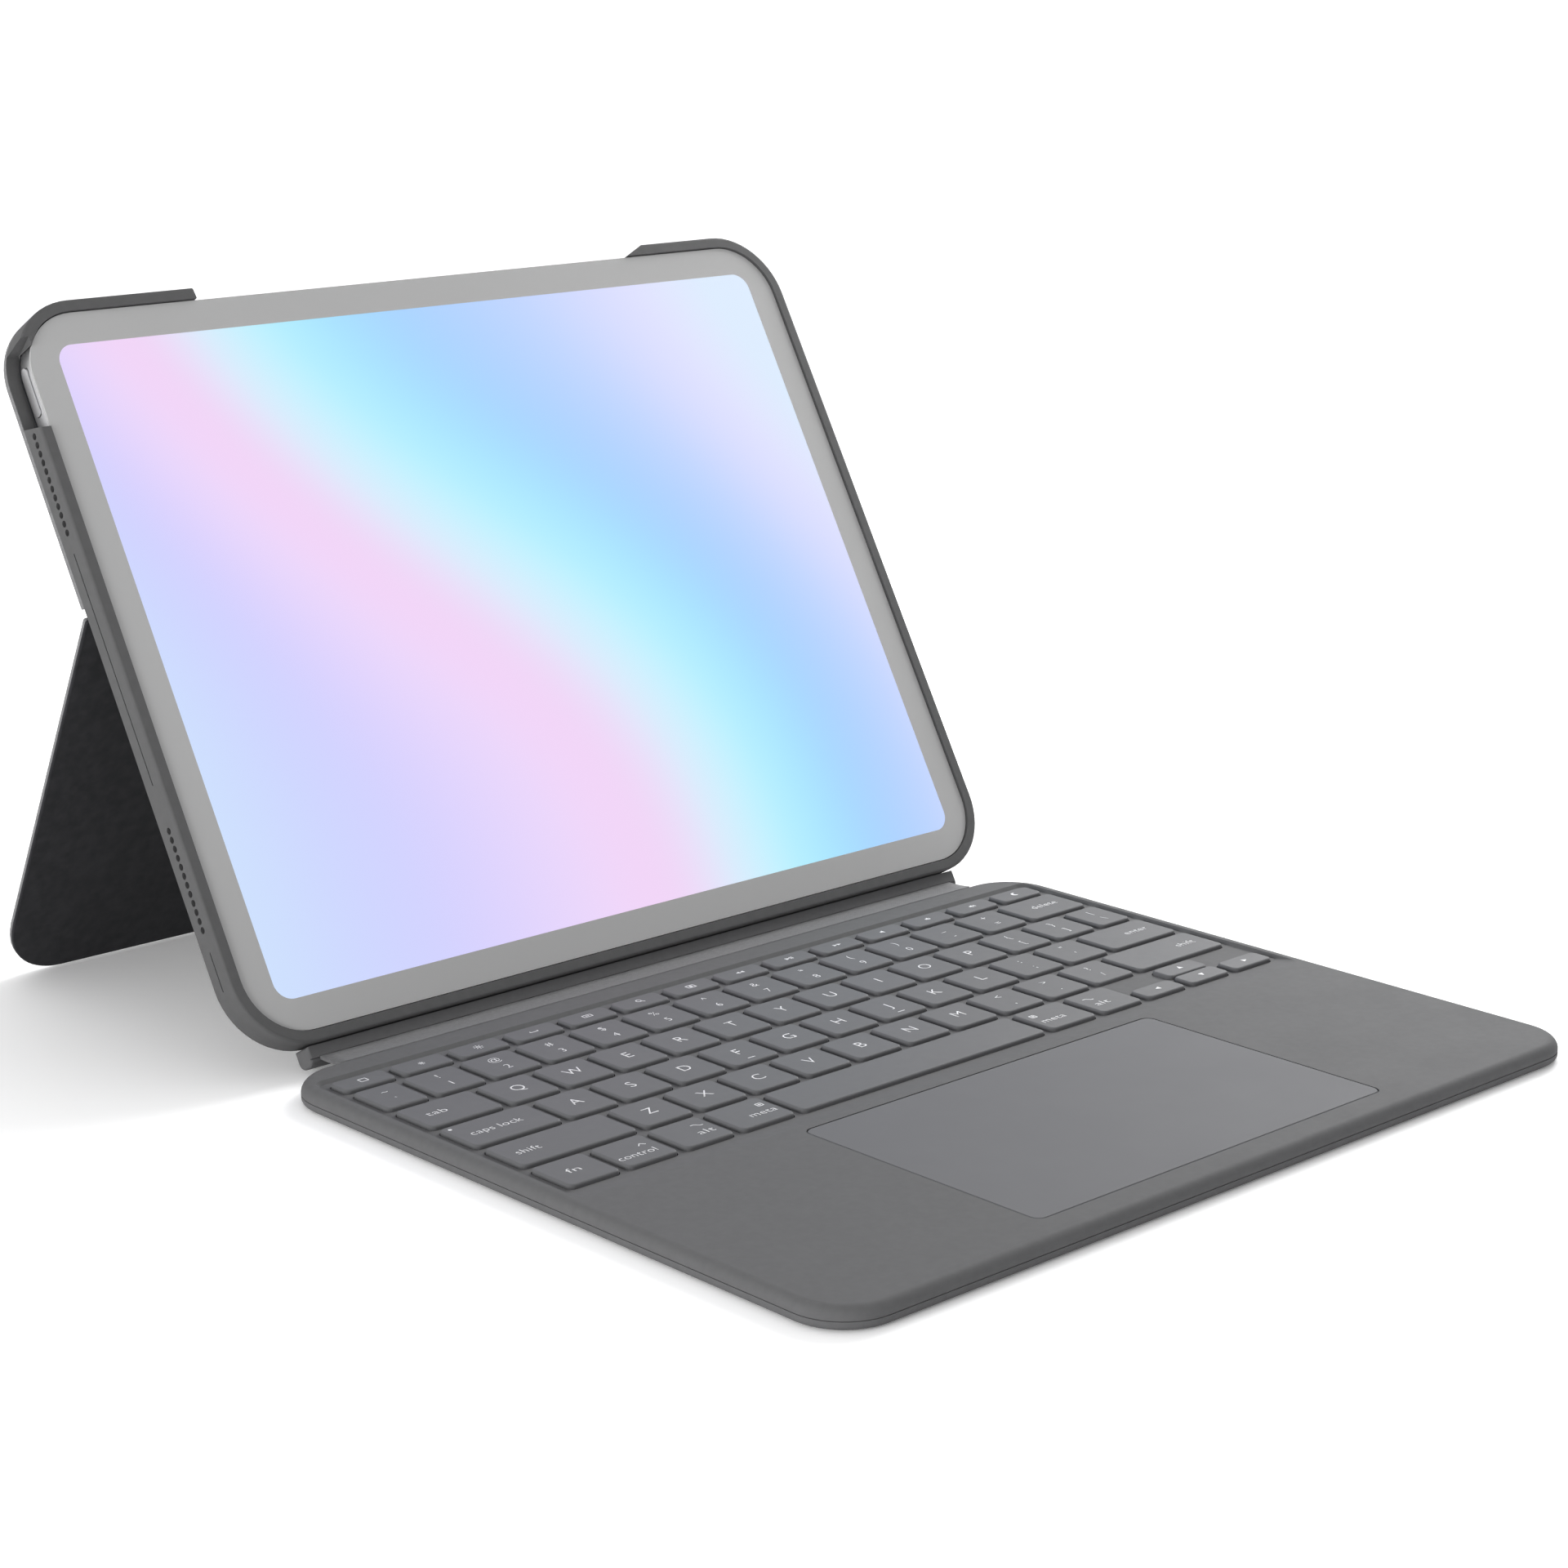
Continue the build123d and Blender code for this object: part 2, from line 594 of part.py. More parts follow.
# ---- connector bar ----
with BuildPart() as connector_bar_shell:
    with BuildSketch(side_view(-BAR_HALF_W)):
        block((BAR_BOTTOM_B, BAR_BACK_N), (BAR_TOP_B, BAR_FRONT_N))
    extrude(amount=2 * BAR_HALF_W)
    bottom_edges = connector_bar_shell.edges().filter_by(Axis.X).group_by(
        lambda e: round(CASE_FRAME.to_local_coords(e.center()).Y, 2)
    )[0]
    fillet(bottom_edges, BAR_BOTTOM_R)
    end_faces = connector_bar_shell.faces().sort_by(Axis.X)
    fillet(end_faces[0].edges() + end_faces[-1].edges(), BAR_END_R / 2)
    with BuildSketch(side_view(-FABRIC_HALF_W)):
        block((seam_bottom, BAR_FRONT_N - FABRIC_TUCK), (seam_top, BAR_FRONT_N + FABRIC_T))
    extrude(amount=2 * FABRIC_HALF_W, mode=Mode.SUBTRACT)
    with BuildSketch(side_view(-BAR_HALF_W)):
        block(
            (SEAM_B - SEAM_LINE_W / 2, BAR_FRONT_N - SEAM_LINE_DEPTH),
            (SEAM_B + SEAM_LINE_W / 2, BAR_FRONT_N + FABRIC_T),
        )
    extrude(amount=2 * BAR_HALF_W, mode=Mode.SUBTRACT)
    with BuildSketch(Plane(CASE_FRAME.from_local_coords((0, BAR_TOP_B, 0)), (1, 0, 0), CASE_FRAME.y_dir)):
        for x in (-BAR_MAGNET_X, BAR_MAGNET_X):
            with Locations((x, -CONTACT_N)):
                Rectangle(BAR_MAGNET_W, MAGNET_T)
        with Locations((0, -CONTACT_N)):
            Rectangle(CONTACT_BLOCK_W, MAGNET_T)
    extrude(amount=-BAR_MAGNET_H, mode=Mode.SUBTRACT)
save(connector_bar_shell, "connector_bar_shell")

# planes across the slope: local X is row X, local Y points to the back of the case
BAR_TOP = Plane(CASE_FRAME.from_local_coords((0, BAR_TOP_B, 0)), (1, 0, 0), CASE_FRAME.y_dir)
CASE_BOTTOM = Plane(CASE_FRAME.from_local_coords((0, CASE_BOTTOM_B, 0)), (1, 0, 0), CASE_FRAME.y_dir)
CONTACTS = [(i * CONTACT_PITCH, -CONTACT_N) for i in (-1, 0, 1)]
with BuildPart() as bar_magnets:
    with BuildSketch(BAR_TOP):
        for x in (-BAR_MAGNET_X, BAR_MAGNET_X):
            with Locations((x, -CONTACT_N)):
                Rectangle(BAR_MAGNET_W, MAGNET_T)
    extrude(amount=-BAR_MAGNET_H)
save(bar_magnets, "bar_magnets")

with BuildPart() as bar_contact_block:
    with BuildSketch(BAR_TOP):
        with Locations((0, -CONTACT_N)):
            Rectangle(CONTACT_BLOCK_W, MAGNET_T)
        with Locations(*CONTACTS):
            Circle(CONTACT_R, mode=Mode.SUBTRACT)
    extrude(amount=-BAR_MAGNET_H)
save(bar_contact_block, "bar_contact_block")

with BuildPart() as bar_contact_pins:
    with BuildSketch(BAR_TOP.offset(-BAR_MAGNET_H)):
        with Locations(*CONTACTS):
            Circle(CONTACT_R)
    extrude(amount=BAR_MAGNET_H + BAR_TOP_GAP - CONTACT_GAP)
save(bar_contact_pins, "bar_contact_pins")

# ---- case shell: an open tray with guards round the tablet's edges ----
def case_outline():
    block((-CASE_HALF_W, CASE_BOTTOM_B), (CASE_HALF_W, CASE_TOP_B), CASE_R)


def top_opening():
    """The stretch of the top edge left open between the two corner guards."""
    Polygon(
        (GUARD_LEFT_END_X, BAY_TOP_B),
        (GUARD_RIGHT_END_X, BAY_TOP_B),
        (GUARD_RIGHT_END_X + GUARD_BEVEL, CASE_TOP_B),
        (GUARD_RIGHT_END_X + GUARD_BEVEL, CASE_TOP_B + WALL),
        (GUARD_LEFT_END_X - SIDE_CLEARANCE, CASE_TOP_B + WALL),
        (GUARD_LEFT_END_X - SIDE_CLEARANCE, CASE_TOP_B),
        align=None,
    )


flex_bend_n = FLOOR_BACK_N + FLEX_T
flex_start_b = CASE_BOTTOM_B + PAD_DEPTH
with BuildPart() as case_flex_cable:
    with BuildSketch(side_view(-FLEX_HALF_W)):
        block((flex_start_b, flex_bend_n), (flex_start_b + FLEX_T, CONTACT_N + CONTACT_R))
        block((flex_start_b, flex_bend_n), (TABLET_PIN_B + 2 * CONTACT_R, flex_bend_n + FLEX_T))
    extrude(amount=2 * FLEX_HALF_W)
save(case_flex_cable, "case_flex_cable")

with BuildPart() as case_contacts:
    with BuildSketch(CASE_BOTTOM):
        with Locations(*CONTACTS):
            Circle(CONTACT_R)
    extrude(amount=PAD_DEPTH)
    with BuildSketch(layer(flex_bend_n + FLEX_T)):
        with Locations(*[(x, TABLET_PIN_B) for x, n in CONTACTS]):
            Circle(CONTACT_R)
    extrude(amount=-TABLET_T - CONTACT_GAP - flex_bend_n - FLEX_T)
save(case_contacts, "case_contacts")

with BuildPart() as case_magnets:
    with BuildSketch(CASE_BOTTOM.offset(FLEX_T)):
        for x in (-BAR_MAGNET_X, BAR_MAGNET_X):
            with Locations((x, -CONTACT_N)):
                Rectangle(BAR_MAGNET_W, MAGNET_T)
    extrude(amount=CASE_MAGNET_H)
save(case_magnets, "case_magnets")

with BuildPart() as case_shell:
    with BuildSketch(layer(FLOOR_BACK_N)):
        case_outline()
    extrude(amount=LIP_N - FLOOR_BACK_N)
    rim = edges_by_height(case_shell, CASE_FRAME)[-1]
    fillet(rim, LIP_EDGE_R)
    with BuildSketch(layer(FLOOR_FRONT_N)):
        block((-BAY_HALF_W, BAY_BOTTOM_B), (BAY_HALF_W, BAY_TOP_B), BAY_R)
    extrude(amount=LIP_N - FLOOR_FRONT_N, mode=Mode.SUBTRACT)
    with BuildSketch(layer(FLOOR_BACK_N)):
        top_opening()
    extrude(amount=LIP_N - FLOOR_BACK_N, mode=Mode.SUBTRACT)
    # notch beside the tablet's power button, wider at the front than at its floor
    with BuildSketch(side_view(-CASE_HALF_W)):
        with BuildLine():
            Polyline(
                (BUTTON_NOTCH[0], BUTTON_NOTCH_N),
                (BUTTON_NOTCH[1], BUTTON_NOTCH_N),
                (BUTTON_NOTCH[1] + BUTTON_NOTCH_SLOPE, LIP_N),
                (BUTTON_NOTCH[0] - BUTTON_NOTCH_SLOPE, LIP_N),
                close=True,
            )
        make_face()
    extrude(amount=WALL + NOTCH_EXTRA, mode=Mode.SUBTRACT)
    # charging port cut-out on the right
    with BuildSketch(side_view(BAY_HALF_W)):
        with Locations((PORT_B, PORT_N)):
            RectangleRounded(PORT_W, PORT_H, PORT_R)
    extrude(amount=WALL, mode=Mode.SUBTRACT)
    # speaker holes along both sides
    for x in (-CASE_HALF_W, BAY_HALF_W):
        with BuildSketch(side_view(x)):
            for start in SIDE_HOLE_STARTS:
                for i in range(SIDE_HOLE_COUNT):
                    with Locations((start - i * SIDE_HOLE_PITCH, SIDE_HOLE_N)):
                        Circle(SIDE_HOLE_R)
        extrude(amount=WALL, mode=Mode.SUBTRACT)
    # fine grooves along the left side
    with BuildSketch(side_view(-CASE_HALF_W)):
        for low, high in SIDE_GROOVES:
            block(
                (low, SIDE_GROOVE_N - SIDE_GROOVE_W / 2),
                (high, SIDE_GROOVE_N + SIDE_GROOVE_W / 2),
                SIDE_GROOVE_R,
            )
    extrude(amount=SIDE_GROOVE_DEPTH, mode=Mode.SUBTRACT)
    # rear camera opening
    with BuildSketch(layer(FLOOR_BACK_N)):
        with Locations((CAMERA_X, CAMERA_B)):
            RectangleRounded(CAMERA_HOLE, CAMERA_HOLE, CAMERA_R)
    extrude(amount=FLOOR_FRONT_N - FLOOR_BACK_N, mode=Mode.SUBTRACT)
    for insert in (case_flex_cable, case_contacts, case_magnets):
        add(insert.part, mode=Mode.SUBTRACT)
save(case_shell, "case_shell")

with BuildPart() as case_lining:
    with BuildSketch(layer(FLOOR_FRONT_N)):
        block(
            (-BAY_HALF_W, BAY_BOTTOM_B),
            (BAY_HALF_W, BAY_TOP_B - SIDE_CLEARANCE),
            BAY_R,
        )
        with Locations((CAMERA_X, CAMERA_B)):
            RectangleRounded(CAMERA_HOLE, CAMERA_HOLE, CAMERA_R, mode=Mode.SUBTRACT)
        block(
            (-FLEX_HALF_W, TABLET_PIN_B - 3 * CONTACT_R),
            (FLEX_HALF_W, TABLET_PIN_B + 3 * CONTACT_R),
            mode=Mode.SUBTRACT,
        )
    extrude(amount=LINING_T)
save(case_lining, "case_lining")

# ---- upper back panel, with slots for the hinge leaves ----
panel_low_b = HINGE_B + PANEL_GAP
with BuildPart() as case_back_panel:
    with BuildSketch(layer(BACK_N)):
        case_outline()
    extrude(amount=FLOOR_BACK_N - BACK_N)
    back_rim = edges_by_height(case_back_panel, CASE_FRAME)[0]
    fillet(back_rim, BACK_EDGE_R)
    with BuildSketch(layer(BACK_N)):
        block((-CASE_HALF_W - WALL, CASE_BOTTOM_B - WALL), (CASE_HALF_W + WALL, panel_low_b))
    extrude(amount=FLOOR_BACK_N - BACK_N, mode=Mode.SUBTRACT)
    with BuildSketch(layer(BACK_N)):
        top_opening()
        with Locations((CAMERA_X, CAMERA_B)):
            RectangleRounded(CAMERA_HOLE, CAMERA_HOLE, CAMERA_R)
    extrude(amount=FLOOR_BACK_N - BACK_N, mode=Mode.SUBTRACT)
    with BuildSketch(side_view(-CASE_HALF_W)):
        with BuildLine():
            Polyline(
                (panel_low_b - WALL, BACK_N),
                (panel_low_b + PANEL_BEVEL, BACK_N),
                (panel_low_b, BACK_N + PANEL_BEVEL),
                (panel_low_b - WALL, BACK_N + PANEL_BEVEL),
                close=True,
            )
        make_face()
    extrude(amount=2 * CASE_HALF_W, mode=Mode.SUBTRACT)
    with BuildSketch(layer(HINGE_N - LEAF_T / 2)):
        for side in (-1, 1):
            block(
                (side * LEAF_X - LEAF_HALF_W, HINGE_B),
                (side * LEAF_X + LEAF_HALF_W, HINGE_B + LEAF_REACH),
            )
    extrude(amount=LEAF_T, mode=Mode.SUBTRACT)
save(case_back_panel, "case_back_panel")

ring_size = CAMERA_HOLE + 2 * CAMERA_RING_W
with BuildPart() as camera_ring:
    with BuildSketch(layer(BACK_N)):
        with Locations((CAMERA_X, CAMERA_B)):
            RectangleRounded(ring_size, ring_size, CAMERA_R + CAMERA_RING_W)
            RectangleRounded(CAMERA_HOLE, CAMERA_HOLE, CAMERA_R, mode=Mode.SUBTRACT)
    extrude(amount=-CAMERA_RING_H)
save(camera_ring, "camera_ring")

# ---- kickstand hinges ----
def hinge_leaf(frame, plate_reach, knuckle_spans, plate_gap, bore):
    """Leaf plates and knuckles of both hinges; the plates reach away along the frame's local Y."""
    with BuildPart() as leaf:
        for side in (-1, 1):
            middle = side * LEAF_X
            with BuildSketch(frame.offset(-LEAF_T / 2)):
                block((middle - LEAF_HALF_W, plate_gap), (middle + LEAF_HALF_W, plate_reach))
                for low, high in knuckle_spans:
                    block((middle + low, 0), (middle + high, plate_gap))
            extrude(amount=LEAF_T)
            for low, high in knuckle_spans:
                start = frame.from_local_coords((middle + low, 0, 0))
                with BuildSketch(Plane(origin=start, x_dir=frame.y_dir, z_dir=(1, 0, 0))):
                    Circle(KNUCKLE_R)
                extrude(amount=high - low)
            start = frame.from_local_coords((middle - LEAF_HALF_W, 0, 0))
            with BuildSketch(Plane(origin=start, x_dir=frame.y_dir, z_dir=(1, 0, 0))):
                Circle(bore)
            extrude(amount=2 * LEAF_HALF_W, mode=Mode.SUBTRACT)
    return leaf


outer_knuckles = ((-LEAF_HALF_W, -KNUCKLE_HALF_W - KNUCKLE_GAP), (KNUCKLE_HALF_W + KNUCKLE_GAP, LEAF_HALF_W))
hinge_frame = Plane(
    origin=CASE_FRAME.from_local_coords((0, HINGE_B, HINGE_N)), x_dir=(1, 0, 0), z_dir=CASE_FRAME.z_dir
)
save(hinge_leaf(hinge_frame, LEAF_REACH, outer_knuckles, STAND_TOP_GAP, PIN_R), "hinge_case_leaves")
stand_leaf = hinge_leaf(
    STAND_FRAME,
    LEAF_REACH,
    ((-KNUCKLE_HALF_W, KNUCKLE_HALF_W),),
    STAND_TOP_GAP,
    PIN_R + PIN_CLEARANCE,
)
save(stand_leaf, "hinge_stand_leaves")

with BuildPart() as hinge_pins:
    for side in (-1, 1):
        with BuildSketch(Plane.YZ.offset(side * LEAF_X - LEAF_HALF_W)):
            with Locations((HINGE_Y, HINGE_Z)):
                Circle(PIN_R)
        extrude(amount=2 * LEAF_HALF_W)
save(hinge_pins, "hinge_pins")

# ---- kickstand: cover, stiffening core and lining ----
def stand_outline(inset):
    """The stand's outline: square at the hinge, wide round corners at the foot."""
    low = (-STAND_HALF_W + inset, STAND_TOP_GAP + inset)
    high = (STAND_HALF_W - inset, STAND_LENGTH - inset)
    block(low, (high[0], STAND_LENGTH / 2), STAND_TOP_GAP / 2)
    block((low[0], STAND_LENGTH / 4), high, STAND_R - inset)


def leaf_notches(mode=Mode.ADD):
    for side in (-1, 1):
        block(
            (side * LEAF_X - LEAF_HALF_W, 0),
            (side * LEAF_X + LEAF_HALF_W, LEAF_REACH),
            0,
            mode,
        )


with BuildPart() as stand_cover:
    with BuildSketch(stand_layer(-LEAF_T / 2)):
        stand_outline(0)
    extrude(amount=STAND_T / 2 + LEAF_T / 2)
    outer_rim = edges_by_height(stand_cover, STAND_FRAME)[-1]
    fillet(outer_rim, STAND_EDGE_R)
    with BuildSketch(stand_layer(-LEAF_T / 2)):
        stand_outline(STAND_CORE_INSET)
        leaf_notches()
    extrude(amount=LEAF_T, mode=Mode.SUBTRACT)
save(stand_cover, "stand_cover")

with BuildPart() as stand_core:
    with BuildSketch(stand_layer(-LEAF_T / 2)):
        stand_outline(STAND_CORE_INSET)
        leaf_notches(Mode.SUBTRACT)
    extrude(amount=LEAF_T)
save(stand_core, "stand_core")

with BuildPart() as stand_lining:
    with BuildSketch(stand_layer(-STAND_T / 2)):
        stand_outline(0)
    extrude(amount=STAND_T / 2 - LEAF_T / 2)
    inner_rim = edges_by_height(stand_lining, STAND_FRAME)[0]
    chamfer(inner_rim, STAND_EDGE_CHAMFER)
save(stand_lining, "stand_lining")

# ---- tablet ----
with BuildPart() as power_button:
    with BuildSketch(side_view(-TABLET_HALF_W - BUTTON_PROUD)):
        with Locations((BUTTON_B, BUTTON_N)):
            RectangleRounded(BUTTON_L, BUTTON_W, BUTTON_R)
    extrude(amount=BUTTON_T)
save(power_button, "power_button")

with BuildPart() as tablet_enclosure:
    with BuildSketch(layer(-TABLET_T)):
        block((-TABLET_HALF_W, TABLET_BOTTOM_B), (TABLET_HALF_W, TABLET_TOP_B), TABLET_R)
    extrude(amount=TABLET_T - GLASS_T)
    with BuildSketch(layer(-TABLET_T + ENCLOSURE_BACK)):
        block(
            (-TABLET_HALF_W + ENCLOSURE_WALL, TABLET_BOTTOM_B + ENCLOSURE_WALL),
            (TABLET_HALF_W - ENCLOSURE_WALL, TABLET_TOP_B - ENCLOSURE_WALL),
            TABLET_R - ENCLOSURE_WALL,
        )
    extrude(amount=TABLET_T - ENCLOSURE_BACK - GLASS_T, mode=Mode.SUBTRACT)
    with BuildSketch(side_view(-TABLET_HALF_W)):
        with Locations((BUTTON_B, BUTTON_N)):
            RectangleRounded(BUTTON_L + 2 * BUTTON_CLEARANCE, BUTTON_W + 2 * BUTTON_CLEARANCE, BUTTON_R)
    extrude(amount=2 * BUTTON_T, mode=Mode.SUBTRACT)
save(tablet_enclosure, "tablet_enclosure")

with BuildPart() as tablet_bezel_glass:
    with BuildSketch(layer(-GLASS_T)):
        block((-TABLET_HALF_W, TABLET_BOTTOM_B), (TABLET_HALF_W, TABLET_TOP_B), TABLET_R)
        block((-DISPLAY_W / 2, 0), (DISPLAY_W / 2, DISPLAY_H), DISPLAY_R, Mode.SUBTRACT)
    extrude(amount=GLASS_T)
save(tablet_bezel_glass, "tablet_bezel_glass")

with BuildPart() as tablet_display:
    with BuildSketch(layer(-DISPLAY_T)):
        block((-DISPLAY_W / 2, 0), (DISPLAY_W / 2, DISPLAY_H), DISPLAY_R)
    extrude(amount=DISPLAY_T)
save(tablet_display, "tablet_display")

with BuildPart() as tablet_battery:
    with BuildSketch(layer(-TABLET_T + ENCLOSURE_BACK)):
        block(
            (-TABLET_HALF_W + BATTERY_INSET, TABLET_BOTTOM_B + BATTERY_INSET),
            (-BATTERY_INSET / 4, TABLET_TOP_B - 3 * BATTERY_INSET),
            BATTERY_R,
        )
        block(
            (BATTERY_INSET / 4, TABLET_BOTTOM_B + BATTERY_INSET),
            (TABLET_HALF_W - BATTERY_INSET, TABLET_TOP_B - 3 * BATTERY_INSET),
            BATTERY_R,
        )
    extrude(amount=BATTERY_T)
save(tablet_battery, "tablet_battery")

with BuildPart() as tablet_camera:
    with BuildSketch(layer(-TABLET_T)):
        with Locations((CAMERA_X, CAMERA_B)):
            RectangleRounded(CAMERA_BODY, CAMERA_BODY, CAMERA_BODY_R)
    extrude(amount=CAMERA_BODY_N + TABLET_T)
save(tablet_camera, "tablet_camera")

print("hinge axis", HINGE_Y, HINGE_Z, "stand slope", math.degrees(STAND_SLOPE))
print("rear", REAR_Y, "glass", GLASS_Y, GLASS_Z)
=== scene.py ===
import json
import math

import bmesh
import bpy
from mathutils import Matrix, Vector


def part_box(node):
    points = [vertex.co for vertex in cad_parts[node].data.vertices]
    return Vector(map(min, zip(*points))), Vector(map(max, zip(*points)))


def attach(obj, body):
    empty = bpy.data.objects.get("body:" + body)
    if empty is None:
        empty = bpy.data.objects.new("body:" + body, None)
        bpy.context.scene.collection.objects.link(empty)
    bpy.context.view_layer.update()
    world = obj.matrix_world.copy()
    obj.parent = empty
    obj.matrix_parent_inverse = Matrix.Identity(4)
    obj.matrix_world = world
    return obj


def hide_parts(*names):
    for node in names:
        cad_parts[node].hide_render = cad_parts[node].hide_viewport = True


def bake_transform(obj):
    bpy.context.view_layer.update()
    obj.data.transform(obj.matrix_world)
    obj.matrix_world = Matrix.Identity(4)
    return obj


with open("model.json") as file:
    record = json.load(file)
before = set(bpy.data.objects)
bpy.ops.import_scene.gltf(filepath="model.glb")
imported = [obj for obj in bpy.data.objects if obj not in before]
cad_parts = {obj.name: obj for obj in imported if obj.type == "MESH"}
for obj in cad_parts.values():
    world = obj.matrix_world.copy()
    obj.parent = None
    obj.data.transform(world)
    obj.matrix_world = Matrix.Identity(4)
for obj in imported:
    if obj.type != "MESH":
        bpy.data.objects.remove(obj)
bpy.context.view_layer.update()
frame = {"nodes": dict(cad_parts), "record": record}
nodes = frame["nodes"]
scene = bpy.context.scene

MM = 0.001

# ---- the shared frame: the deck's rear edge, the glass's bottom edge and the lean of the case, in mm ----
LEAN = math.radians(30.0)
SLOPE = math.radians(60.0)
UP = Vector((0.0, math.sin(LEAN), math.cos(LEAN)))
OUT = Vector((0.0, -math.cos(LEAN), math.sin(LEAN)))
REAR_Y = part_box("deck_top_cover")[1].y / MM
GLASS_BEHIND_DECK, GLASS_Z = 14.85, 20.76
GLASS = Vector((0.0, REAR_Y + GLASS_BEHIND_DECK, GLASS_Z))
DISPLAY_W = 262.8


def on_case(x, b, n):
    """A point x along the case, b up the slope and n out of the glass, in metres."""
    return (Vector((x, 0.0, 0.0)) + GLASS + UP * b + OUT * n) * MM


# ---- camera, in metres and degrees; azimuth 0 is in front of the keys ----
TARGET = Vector((0.16748, 0.17065, 0.0058))
AZIMUTH, ELEVATION, DISTANCE = -42.99, 14.89, 1.23538
LENS, SENSOR_W = 79.6, 36.0
azimuth, elevation = math.radians(AZIMUTH), math.radians(ELEVATION)
back = Vector((
    math.sin(azimuth) * math.cos(elevation),
    -math.cos(azimuth) * math.cos(elevation),
    math.sin(elevation),
))
camera_data = bpy.data.cameras.new("camera")
camera_data.lens = LENS
camera_data.sensor_width = SENSOR_W
camera_data.clip_start = 0.05
camera_data.clip_end = 50.0
camera = bpy.data.objects.new("camera", camera_data)
scene.collection.objects.link(camera)
camera.location = TARGET + back * DISTANCE
camera.rotation_mode = "QUATERNION"
camera.rotation_quaternion = (-back).to_track_quat("-Z", "Y")
bpy.context.scene.camera = camera

# ---- light: a soft sky that is brighter towards the back right, and three area lights ----
SKY_BRIGHT_SIDE = (0.62, 0.78, -0.05)
SKY_DIM, SKY_BRIGHT = (0.56, 0.56, 0.565, 1.0), (1.04, 1.04, 1.04, 1.0)
SKY_DIM_UNTIL, SKY_BRIGHT_FROM = 0.35, 0.93
scene.view_settings.view_transform = "Standard"
scene.view_settings.look = "None"
world = bpy.data.worlds.new("studio")
world.use_nodes = True
sky = world.node_tree
sky_place = sky.nodes.new("ShaderNodeTexCoord")
facing = sky.nodes.new("ShaderNodeVectorMath")
facing.operation = "DOT_PRODUCT"
facing.inputs[1].default_value = SKY_BRIGHT_SIDE
sky.links.new(sky_place.outputs["Generated"], facing.inputs[0])
spread = sky.nodes.new("ShaderNodeMapRange")
spread.inputs["From Min"].default_value = -1.0
sky.links.new(facing.outputs["Value"], spread.inputs["Value"])
shade = sky.nodes.new("ShaderNodeValToRGB")
dim, bright = shade.color_ramp.elements
dim.position, dim.color = SKY_DIM_UNTIL, SKY_DIM
bright.position, bright.color = SKY_BRIGHT_FROM, SKY_BRIGHT
sky.links.new(spread.outputs["Result"], shade.inputs["Fac"])
sky.links.new(shade.outputs["Color"], sky.nodes["Background"].inputs["Color"])
sky.nodes["Background"].inputs["Strength"].default_value = 1.0
scene.world = world


def area_light(name, place, aim, size, power):
    data = bpy.data.lights.new(name, "AREA")
    data.shape = "RECTANGLE"
    data.size, data.size_y = size
    data.energy = power
    lamp = bpy.data.objects.new(name, data)
    scene.collection.objects.link(lamp)
    lamp.location = place
    lamp.rotation_mode = "QUATERNION"
    lamp.rotation_quaternion = (Vector(aim) - Vector(place)).to_track_quat("-Z", "Y")


area_light("left_light", (-1.1, -0.15, 0.26), (-0.1, -0.08, 0.0), (0.5, 0.3), 7.5)
area_light("right_light", (0.66, 0.16, 0.42), (0.12, -0.12, 0.0), (0.4, 0.4), 7.0)
area_light("top_light", (0.2, 0.5, 1.8), (0.0, 0.0, 0.0), (1.4, 1.4), 2.5)


